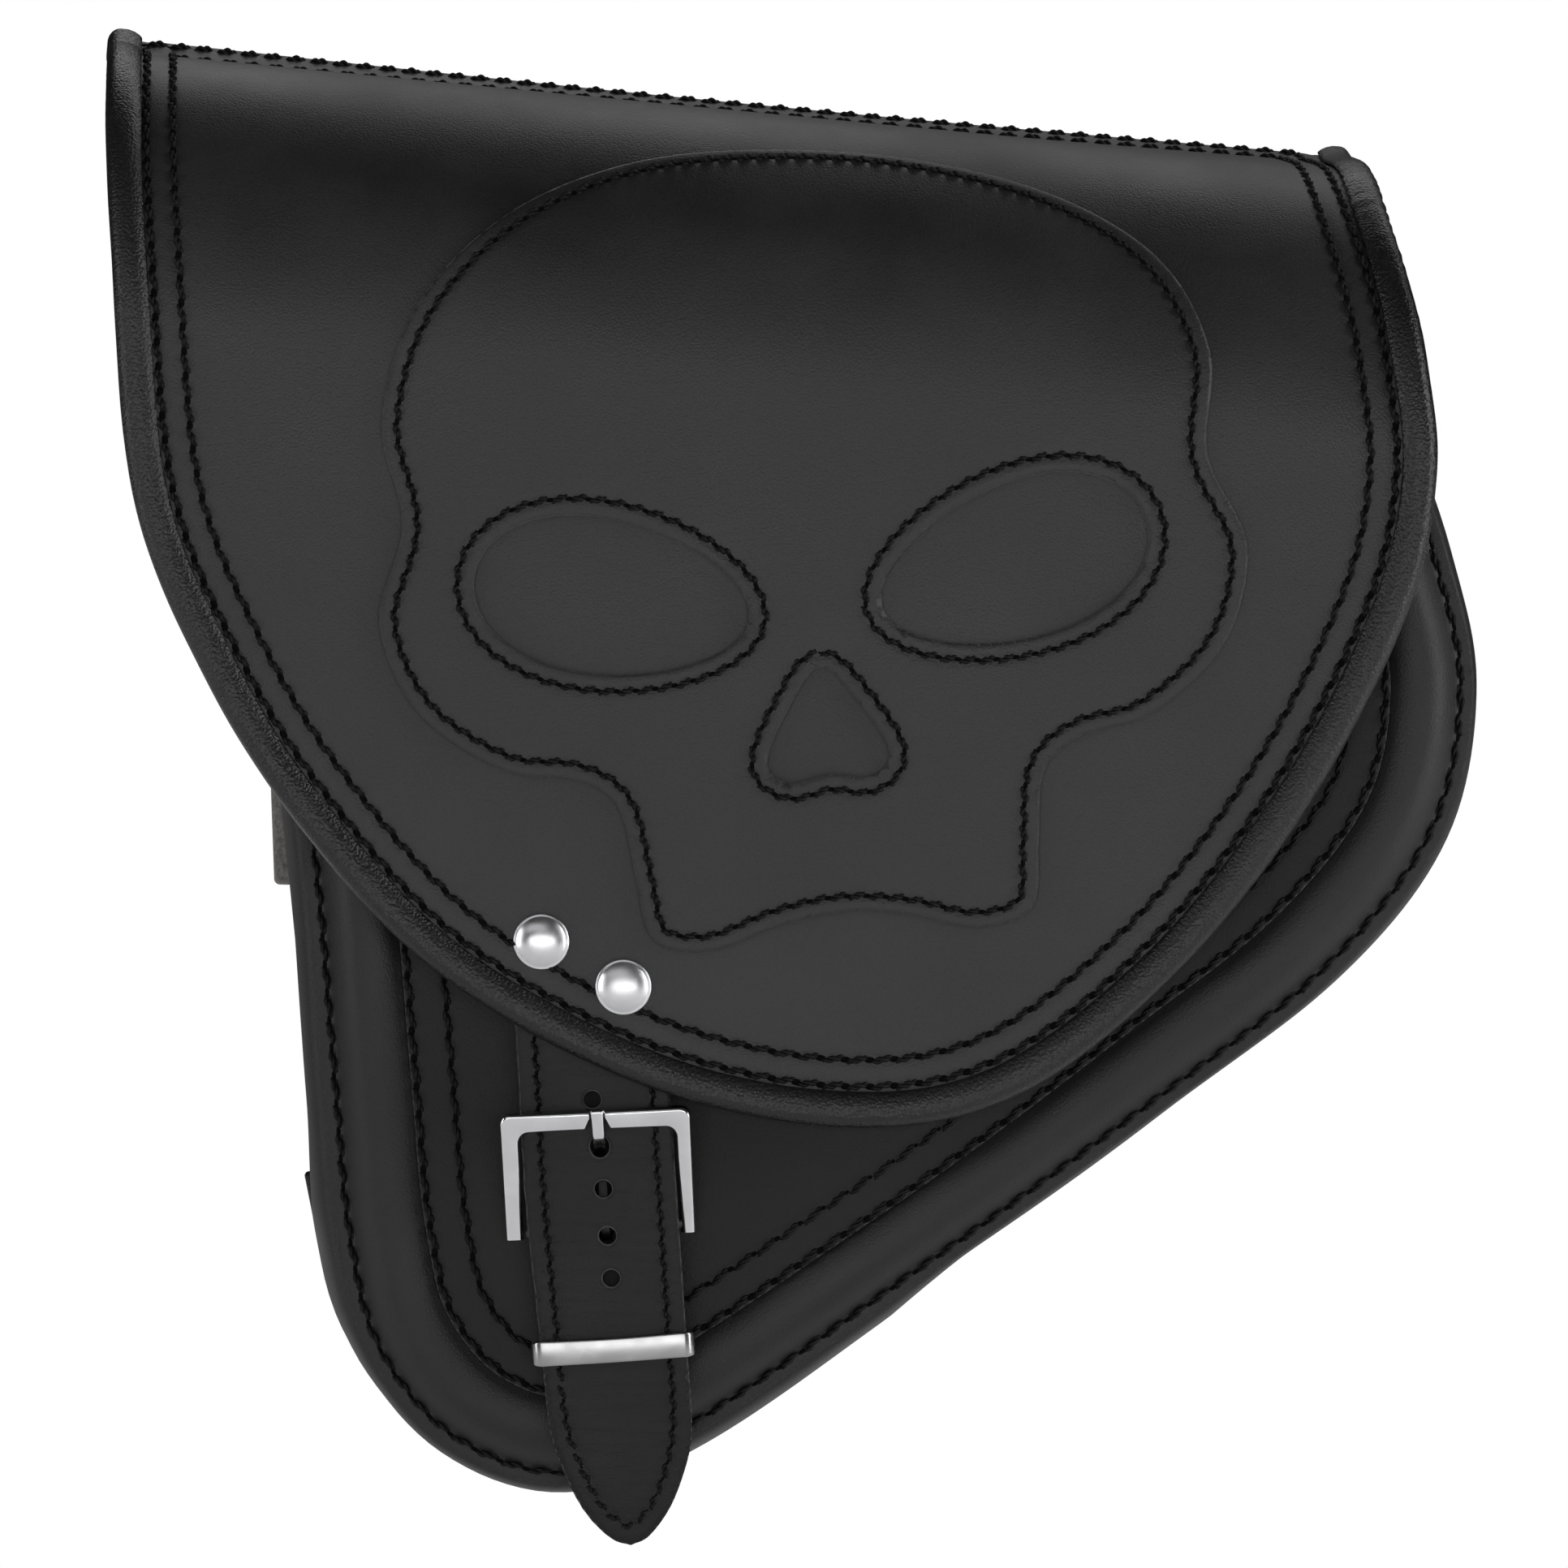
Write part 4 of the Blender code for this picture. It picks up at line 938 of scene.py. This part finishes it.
def gusset():
    """Rounded side wall; how far its front edge bulges changes along the outline."""
    bulges = ((-121, 1.1), (-118, 1.35), (-115, 1.5), (-112, 1.35), (-108, 1.0), (-100, 0.82), (-75, 0.9),
              (-60, 0.9), (25, 1.0), (45, 0.5), (100, 0.45), (170, 0.65))
    section = smooth(((9, -74), (5, -74), (1.2, -74), (-1.8, -72), (-3.8, -64), (-4.8, -50), (-5, -38),
                      (-4.6, -22), (-3.2, -10), (-1.4, -5.4), (1.4, -3.9), (5, -3.9), (9, -3.9)), 3)
    ring = np.vstack((section, offset(section, -PADDED_THICKNESS)[::-1]))
    base = body_line()
    lines = [trimmed(base, mouth_level(-y)) for x, y in ring]
    sides = [left_normals(line) for line in lines]
    rings = []
    for index in range(len(base)):
        spots = []
        for line, side, (inset, y) in zip(lines, sides, ring):
            sag = 0.5 * math.sin(index * 0.21 + y * 0.05) * math.sin(math.pi * min(1, max(0, -y / 78)))
            bulge = np.interp(line[index][0], *zip(*bulges))
            reach = min(inset, 0) * bulge + max(inset, 0) - sag
            x, z = line[index] + side[index] * reach
            spots.append((x, y, z))
        rings.append(world(np.array(spots)))
    stand_for(tube("gusset_leather", np.array(rings), [BODY_LEATHER], sharp=50), "bag", "gusset")


def along_hinge(name, section, runs, materials):
    """Section (down, forward) carried along the hinge line."""
    spots = np.multiply.outer(section[:, 0], DOWN) - np.multiply.outer(section[:, 1], BACKWARD)
    return tube(name, np.array([world(HINGE_LEFT + ALONG * run + spots) for run in runs]), materials)


def front_hem():
    """Strip folded over the front panel's top edge."""
    top = FRONT_TOP - 0.3
    section = ((11, 0.3), (0, 0.3), (0, -5.3), (11, -5.3), (11, -6.1), (10.2, -6.5), (0, -6.5), (-1.2, -5.7),
               (-1.6, -2.5), (-1.2, 0.7), (0, 1.5), (10.2, 1.5), (11, 1.1))
    section = np.array(section) + (top, BODY_FRONT)
    thing = along_hinge("front_edge_hem", section, np.arange(62.0, 292.5, 5.0), [BINDING])
    stand_for(thing, "bag", "front_hem")


def back_panel():
    edge = body_line()

    def height(spots, gap):
        return np.interp(gap, (0, 0.5, 1.2), (-0.7, -0.15, 0.0)) - 0.3 * groove(gap, 6, 1.2)

    thing = sheet("back_leather", edge[::-1], on_back, -3.5, height, [BODY_LEATHER, FLESH, CUT],
                  rings=(0.5, 1.2, 4.8, 6, 7.2), spacing=9.0)
    stand_for(face_out(thing), "bag", "back_panel")
    row("back_row", trimmed(body_line(6.0, SEAM_SPACING), 16), on_back, BACK_PITCH, -0.15, "bag")


def hinge_strip():
    """One leather strip from the back panel, over the hinge line, to the underside of the lid."""
    half = 1.25
    line = np.vstack((((1.55, -33), (1.55, -20), (1.55, -8.5)), arc((-1.5, -8.2), 3.05, 0, 90, 6)[1:],
                      ((-6, -5.9), (-14, -7.3))))
    loop = np.vstack((offset(line, -half), offset(line, half)[::-1]))
    thing = along_hinge("hinge_leather", -loop[:, ::-1], np.arange(24.0, 300.1, 6.0), [BODY_LEATHER])
    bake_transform(thing)
    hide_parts("hinge_strip_back", "hinge_strip_lid")


# ---------------------------------------------------------------- strap and hardware


def strap_outline(inset=0.0):
    """Whole strap from its hidden upper end to the rounded point."""
    half = STRAP_WIDTH / 2 - inset
    curve = smooth(((half, STRAP_TAPER + 12), (half, STRAP_TAPER), (half - 1.6, STRAP_TAPER - 9),
                    (half * 0.62, STRAP_TIP + 10), (half * 0.27, STRAP_TIP + 2.2 + inset / 2),
                    (0, STRAP_TIP + inset)), 8)
    left = curve[:-1][::-1] * (-1, 1)
    point = lean_aside(np.vstack((curve, left)))
    top = STRAP_TOP - inset
    side = np.stack((np.full(24, -half), np.linspace(STRAP_TAPER + 14, top - 12, 24)), axis=1)
    corner = np.vstack((arc((8 - half, top - 8), 8, 180, 90, 8), arc((half - 8, top - 8), 8, 90, 0, 8)))
    return uneven_left(np.vstack((point, side, corner, side[::-1] * (-1, 1))))[::-1]


def uneven_left(line):
    """Shift the left half of a line as the uneven cut does, with a slight ripple."""
    heights, shifts = zip(*STRAP_LEFT_EDGE)
    part = np.clip(-line[:, 0] / (STRAP_WIDTH / 2), 0, 1)
    shift = np.interp(line[:, 1], heights, shifts) + 0.12 * np.sin(line[:, 1] * 1.9)
    return line + np.stack((shift * part, 0 * part), axis=1)


def lean_aside(line):
    """The strap's point leans a little to one side."""
    part = np.clip((STRAP_TAPER - line[:, 1]) / (STRAP_TAPER - STRAP_TIP), 0, 1)
    return line + np.stack((STRAP_TIP_ASIDE * part, 0 * part), axis=1)


def strap_body():
    outline = strap_outline()
    holes = [circle(spot, STRAP_HOLE_RADIUS, 28)[::-1] for spot in STRAP_HOLES]
    holes.insert(1, PRONG_HOLE_CENTRE + circle((0, 0), 1.0, 28)[::-1] * PRONG_HOLE_RADII)
    loops = close(outline)

    def height(spots, gap):
        edge_gap = distance(spots, loops)
        rounding = np.interp(gap, (0, 0.3, 0.8), (-0.5, -0.12, 0.0))
        dip = 0.3 * groove(edge_gap, 4.7, 1.1)
        crown = 0.25 * np.cos(np.clip(spots[:, 0] / STRAP_WIDTH * math.pi, -1.5, 1.5))
        crease = 0.10 * np.sin(spots[:, 1] * 1.4 + spots[:, 0] * 0.08) * groove(spots[:, 1], 25, 5.5)
        return STRAP_FRONT - 0.15 + rounding - dip + crown * np.interp(edge_gap, (0, 3), (0, 1)) + crease

    def lining_height(spots, gap):
        return LINING_FRONT + np.interp(gap, (0, 0.3, 0.9), (-0.35, -0.1, 0.0))

    face = sheet("strap_face", outline, on_strap, STRAP_FACE_BACK, height, [STRAP, FLESH, CUT, WORN],
                 holes=holes, rings=(0.3, 0.8, 1.6, 2.6, 3.6, 4.7, 5.8, 7.2), spacing=2.4, worn=0.2)
    backing = sheet("strap_lining", strap_outline(0.3) - (0.5, 0), on_strap, LINING_BACK, lining_height,
                    [STRAP, FLESH, CUT], holes=holes, rings=(0.3, 0.9), spacing=4.0)
    seam = row("strap_row", even(strap_row(), 2.0), on_strap, STRAP_PITCH, STRAP_FRONT - 0.25,
               radius=0.42, reach=(1.0, 0.85))
    start, end = [tuple(on_strap(0.0, STRAP_FLEX + reach, STRAP_FLEX_OUT))
                  for reach in (STRAP_BEND_HALF, -STRAP_BEND_HALF)]
    for piece in [face, backing] + seam:
        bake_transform(piece)
    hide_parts("strap_upper", "strap_lower")
    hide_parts("strap_backing")


def strap_row():
    """Row inside the strap's edge, down the right, round the point in a V and up the left."""
    half = STRAP_WIDTH / 2 - STRAP_SEAM
    right = smooth(((half, 80), (half, 25), (half, -25), (half, STRAP_TAPER + 3),
                    (half - 2.2, STRAP_TAPER - 9), (half * 0.45, STRAP_TIP + 10), (0.2, STRAP_TIP + 4.6)), 8)
    left = uneven_left(right[:-1][::-1] * (-1, 1))
    return lean_aside(np.vstack((right, left)))


def tilted(x, y, out):
    """Buckle's own frame: up the frame from the heel bar, and out of its face."""
    up = y * math.cos(BUCKLE_TILT) - out * math.sin(BUCKLE_TILT)
    lifted = HEEL_OUT + y * math.sin(BUCKLE_TILT) + out * math.cos(BUCKLE_TILT)
    return on_strap(x, up, lifted)


def skewed(x, y):
    """The frame sits turned a little on its heel bar."""
    turn = -BUCKLE_SKEW
    return (x * math.cos(turn) - y * math.sin(turn) + BUCKLE_ASIDE,
            x * math.sin(turn) + y * math.cos(turn))


def frame_edge(left, right, top, bend):
    """One edge of the U, from the left foot over the top bar to the right foot."""
    bar = np.concatenate((np.linspace(left + bend, -5, 9)[1:], np.arange(-4.75, 4.8, 0.25),
                          np.linspace(5, right - bend, 9)[:-1]))
    heights = np.linspace(BUCKLE_FOOT, top - bend, 12)
    return np.vstack((np.stack((np.full(12, left), heights), axis=1)[:-1],
                      arc((left + bend, top - bend), bend, 180, 90, 10),
                      np.stack((bar, np.full(len(bar), top)), axis=1),
                      arc((right - bend, top - bend), bend, 90, 0, 10),
                      np.stack((np.full(12, right), heights[::-1]), axis=1)[1:]))


def prong_notch(inner):
    """Raise the inside edge of the top bar in a V, and hollow the bar where the prong lies."""
    beside = np.abs(inner[:, 0] + BUCKLE_ASIDE + BUCKLE_TOP * math.sin(BUCKLE_SKEW))
    on_bar = inner[:, 1] > BUCKLE_TOP - BUCKLE_BAR - 0.01
    inner[:, 1] += 2.6 * np.clip((3.3 - beside) / 1.2, 0, 1) * on_bar
    return inner, np.clip((2.0 - beside) / 0.4, 0, 1) * on_bar


def buckle_frame():
    """U-shaped frame with soft edges and a V notch in which the prong lies."""
    half, top = BUCKLE_HALF_WIDTH, BUCKLE_TOP
    outer = frame_edge(-half, half, top, BUCKLE_BENDS[0])
    inner = frame_edge(BUCKLE_ARMS[0] - half, half - BUCKLE_ARMS[1], top - BUCKLE_BAR, BUCKLE_BENDS[1])
    inner, seat = prong_notch(inner)
    rings = []
    for near, far, deep in zip(inner, outer, seat):
        wide = np.linalg.norm(far - near)
        shape = rounded_box(0.0, -1.5, wide, 1.5 - 1.3 * deep, min(0.9, wide / 3), 5)
        crown = 0.3 * np.sin(np.clip(shape[:, 0] / wide, 0, 1) * math.pi)
        shape[:, 1] += crown * (shape[:, 1] > 0) * (1 - deep)
        spots = near + np.multiply.outer(shape[:, 0] / wide, far - near)
        x, y = skewed(spots[:, 0], spots[:, 1])
        rings.append(tilted(x, y, shape[:, 1]))
    stand_for(tube("buckle_u_frame", np.array(rings), [CHROME], sharp=50), "buckle", "buckle_frame")
    reach = BUCKLE_HALF_WIDTH - BUCKLE_ARMS[0] + 0.6
    round_bar = circle((0, 0), 1.45, 24)
    stations = [tilted(np.full(24, x), *round_bar.T) for x in np.linspace(-reach, reach, 9)]
    # The heel bar lies behind the strap; its dark steel is painted shade.
    heel = tube("buckle_heel_bar", np.array(stations), [SHADE_DARK_STEEL])
    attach(heel, "buckle")


def buckle_prong():
    """Flat wire curled on the heel bar, cranked through the strap, with a rounded tip."""
    crank = smooth(((17.2, 3.2), (19.5, 4.0), (21.5, 7.2), (23.1, 10.2), (24.2, 12.1), (25.6, 12.75),
                    (28.4, 13.6), (30.0, 14.1)), 5)
    curl = arc((0, HEEL_OUT), 1.65, 370, 82, 26)
    line = np.vstack((curl, ((8.0, 4.13), (15.2, 3.11), (16.0, 3.15)), crank))
    middle = offset(line, 0.8)
    direction = (middle[-1] - middle[-2]) / np.linalg.norm(middle[-1] - middle[-2])
    tip = np.array([middle[-1] + direction * step for step in (0.35, 0.6, 0.75)])
    middle = np.vstack((middle, tip))
    normals = left_normals(middle)
    scale = np.concatenate((np.ones(len(middle) - 3), (0.9, 0.66, 0.25)))
    section = rounded_box(-1.5, -0.8, 1.5, 0.8, 0.5, 4)
    rings = []
    for spot, normal, size in zip(middle, normals, scale):
        up = spot[0] + normal[0] * section[:, 1] * size
        out = spot[1] + normal[1] * section[:, 1] * size
        rings.append(on_strap(section[:, 0] * (0.6 + 0.4 * size), up, out))
    thing = tube("buckle_tongue", np.array(rings), [CHROME, TONGUE_SHADE_STEEL], sharp=50)
    # The faces behind the strap get the near-black steel as painted shade.
    behind_strap = 32 * len(section)
    for face in thing.data.polygons[:behind_strap]:
        face.material_index = 1
    stand_for(thing, "prong", "buckle_prong")


def strap_keeper():
    """Bent metal loop round the strap; its front is crowned and its corners are soft."""
    half, low, high = STRAP_WIDTH / 2 + 0.5, 6.8, 10.6
    path = rounded_box(-half - 0.75, low - 0.75, half + 0.75, high + 0.75, 1.9, 8)
    path = even(close(path), 1.0)[:-1]
    normals = left_normals(path, True)
    rings = []
    for spot, normal in zip(path, normals):
        front = spot[1] > high - 0.5
        middle = math.cos(min(1.5, abs(spot[0]) / half * 1.5)) if front else 0.0
        end = np.clip((half + 0.9 - abs(spot[0])) / 2.2, 0, 1) if front else 0.0
        reach = 2.9 + 0.4 * math.sqrt(end) - 0.12 * middle
        section = rounded_box(-reach, -0.75, reach, 0.75, 0.6, 4)
        x = spot[0] - normal[0] * section[:, 1]
        out = spot[1] - normal[1] * section[:, 1] + 0.8 * middle
        rings.append(on_strap(x, KEEPER_UP + section[:, 0] - 0.25 * middle, out))
    thing = tube("strap_keeper_loop", np.array(rings), [POLISHED], closed=True, sharp=50)
    stand_for(thing, "keeper", "strap_keeper")


def rivets():
    """Domed caps on the lid, with a small flat rim and a shank behind."""
    seat = 15.8
    profile = ((0, 2.7), (1.5, 2.66), (3.0, 2.46), (4.4, 2.05), (5.5, 1.5), (6.2, 1.0), (6.5, 0.78),
               (6.75, 0.80), (7.0, 0.66), (7.15, 0.35), (7.1, 0), (1.6, 0), (1.6, -9.5), (0, -9.5))
    profile = [(radius, seat + up) for radius, up in profile]
    for name, spot in zip(("upper_rivet", "lower_rivet"), RIVETS):
        thing = turned(name + "_dome", profile, on_strap, spot, [CAP_CHROME], 64, 50)
        stand_for(thing, "lid", name + "_cap")


def finish_cad():
    """CAD nodes that keep their shape get a material."""
    posts = ["%s_mount_post_%d" % (level, order) for level in ("upper", "lower") for order in (1, 2)]
    # The chape and the snap behind the strap get dark colours as painted shade where they show through the
    # strap's holes.
    plain = {"back_board": BOARD, "buckle_chape": CHAPE_SHADE_LEATHER, "snap_stud": SHADE_DARK_STEEL,
             "snap_socket": SHADE_DARK_STEEL, "upper_rivet_washer": STEEL, "lower_rivet_washer": STEEL}
    plain.update((name, STEEL) for post in posts for name in (post, post + "_nut"))
    for name, made in plain.items():
        mesh = bpy.data.objects[name].data
        if not mesh.materials:
            mesh.materials.append(made)
        for index in range(len(mesh.materials)):
            mesh.materials[index] = made


# ---------------------------------------------------------------- mounting straps


def mount_line(left):
    """Middle line of a looped strap seen from above, from the lower ply's end round to the upper ply's."""
    return np.vstack((((-6, 1.8), (-40, 1.8), (-90, 1.8), (left, 1.8)),
                      arc((left, 6.0), 4.2, 270, 90, 12)[1:-1],
                      ((left, 10.2), (left + 30, 10.2), (left + 58, 10.2), (left + 63, 9.8),
                       (left + 74, 5.6), (left + 79, 5.1), (-6, 5.1))))


def mounting_straps():
    """Looped straps; the lower loop's end lies slanting along the side of the body."""
    for name, height, left, skin, slant, back in (("upper_mount", 165.0, -131.0, SUEDE, -0.04, -0.3),
                                                  ("lower_mount", 60.0, -121.5, STRAP, -0.22, 1.4)):
        line = mount_line(left)
        normals = left_normals(line)
        section = rounded_box(-13, -1.5, 13, 1.5, 1.1, 5)
        rings = []
        for spot, normal in zip(line, normals):
            end = np.clip((-90 - spot[0]) / 20, 0, 1)
            x = spot[0] + normal[0] * section[:, 1] + end * (slant * section[:, 0] + back)
            x = x + end * 0.9 * (np.abs(section[:, 0]) / 13) ** 4
            y = spot[1] + normal[1] * section[:, 1]
            rings.append(world(np.stack((x, y, height + section[:, 0] * (1 + 0.1 * end)), axis=1)))
        stand_for(tube(name + "_band", np.array(rings), [skin], sharp=50), "bag", name + "_strap")


# ---------------------------------------------------------------- stage

FLOOR_GLOW = 0.35
FLOOR_LEVEL = -70.0
FLOOR_REACH = 6.0
# Strength of the light from all round: in front of the bag, and beside and above it.
AMBIENT = (0.12, 0.36)
CAMERA_PLACE = (0.0, -2000.0, 177.5)
CAMERA_LENS = 172.8
SENSOR_WIDTH = 36.0


def area_light(name, place, aim, size, power):
    data = bpy.data.lights.new(name, "AREA")
    data.shape = "RECTANGLE"
    data.size, data.size_y = size
    data.energy = power
    thing = bpy.data.objects.new(name, data)
    thing.location = place
    thing.rotation_euler = (Vector(aim) - Vector(place)).to_track_quat("-Z", "Y").to_euler()
    bpy.context.scene.collection.objects.link(thing)


def seen_by_camera(tree, plain, seen):
    """One shader for the camera and another for everything the light does."""
    path = add(tree, "ShaderNodeLightPath")
    mix = add(tree, "ShaderNodeMixShader")
    tree.links.new(path.outputs["Is Camera Ray"], mix.inputs[0])
    tree.links.new(plain, mix.inputs[1])
    tree.links.new(seen, mix.inputs[2])
    return mix.outputs[0]


def floor():
    made, tree, shader = nodes_of("floor_pale")
    feed(tree, shader, Base_Color=(0.9, 0.9, 0.9, 1), Roughness=0.9, Emission_Color=(1, 1, 1, 1),
         Emission_Strength=FLOOR_GLOW)
    white = add(tree, "ShaderNodeEmission", Color=(1, 1, 1, 1), Strength=1.0)
    both = seen_by_camera(tree, shader.outputs[0], white.outputs[0])
    tree.links.new(both, tree.nodes["Material Output"].inputs["Surface"])
    level = float(world(np.array((0.0, 0.0, FLOOR_LEVEL)))[2])
    far = FLOOR_REACH
    mesh = bpy.data.meshes.new("floor")
    mesh.from_pydata([(-far, -far, level), (far, -far, level), (far, far, level), (-far, far, level)], [],
                     [(0, 1, 2, 3)])
    mesh.materials.append(made)
    thing = bpy.data.objects.new("floor", mesh)
    bpy.context.scene.collection.objects.link(thing)


def studio():
    """White to the camera; for the light, dimmer in front than at the sides and above."""
    scene = bpy.context.scene
    scene.world = bpy.data.worlds.new("studio")
    scene.world.use_nodes = True
    tree = scene.world.node_tree
    dim = tree.nodes["Background"]
    way = add(tree, "ShaderNodeTexCoord").outputs["Generated"]
    parts = add(tree, "ShaderNodeSeparateXYZ")
    tree.links.new(way, parts.inputs[0])
    spread = add(tree, "ShaderNodeMapRange")
    feed(tree, spread, From_Min=-1.0, From_Max=0.1, To_Min=AMBIENT[0], To_Max=AMBIENT[1],
         Value=parts.outputs["Y"])
    tree.links.new(spread.outputs[0], dim.inputs["Strength"])
    white = add(tree, "ShaderNodeBackground", Color=(1, 1, 1, 1), Strength=1.0)
    both = seen_by_camera(tree, dim.outputs[0], white.outputs[0])
    tree.links.new(both, tree.nodes["World Output"].inputs["Surface"])
    scene.view_settings.view_transform = "Standard"


def lights():
    middle = tuple(world(np.array((0.0, -60.0, 180.0))))
    for name, place, size, power in (("behind_top", (0.30, 0.60, 1.0), (1.5, 0.4), 3.2),
                                     ("front_low", (0.15, -2.4, 0.02), (2.4, 0.45), 12.5),
                                     ("front_top", (-0.5, -1.9, 1.2), (2.0, 0.9), 3.8),
                                     ("side_left", (-1.4, -0.7, 0.1), (0.35, 1.3), 7.0),
                                     ("side_right", (1.35, -0.45, 0.35), (0.35, 1.2), 9.0)):
        area_light(name, place, middle, size, power)


def camera():
    data = bpy.data.cameras.new("camera")
    data.sensor_width = SENSOR_WIDTH
    data.lens = CAMERA_LENS
    data.clip_end = 50.0
    thing = bpy.data.objects.new("camera", data)
    thing.location = tuple(world(np.array(CAMERA_PLACE)))
    thing.rotation_euler = (math.pi / 2, 0, 0)
    bpy.context.scene.collection.objects.link(thing)
    bpy.context.scene.camera = thing


for make in (lid_leather, lid_binding, lid_stitching, skull_applique, front_panel, front_overlay,
             gusset, front_hem, back_panel, hinge_strip, strap_body, buckle_frame, buckle_prong,
             strap_keeper, rivets, mounting_straps, finish_cad, floor, studio, lights, camera):
    make()
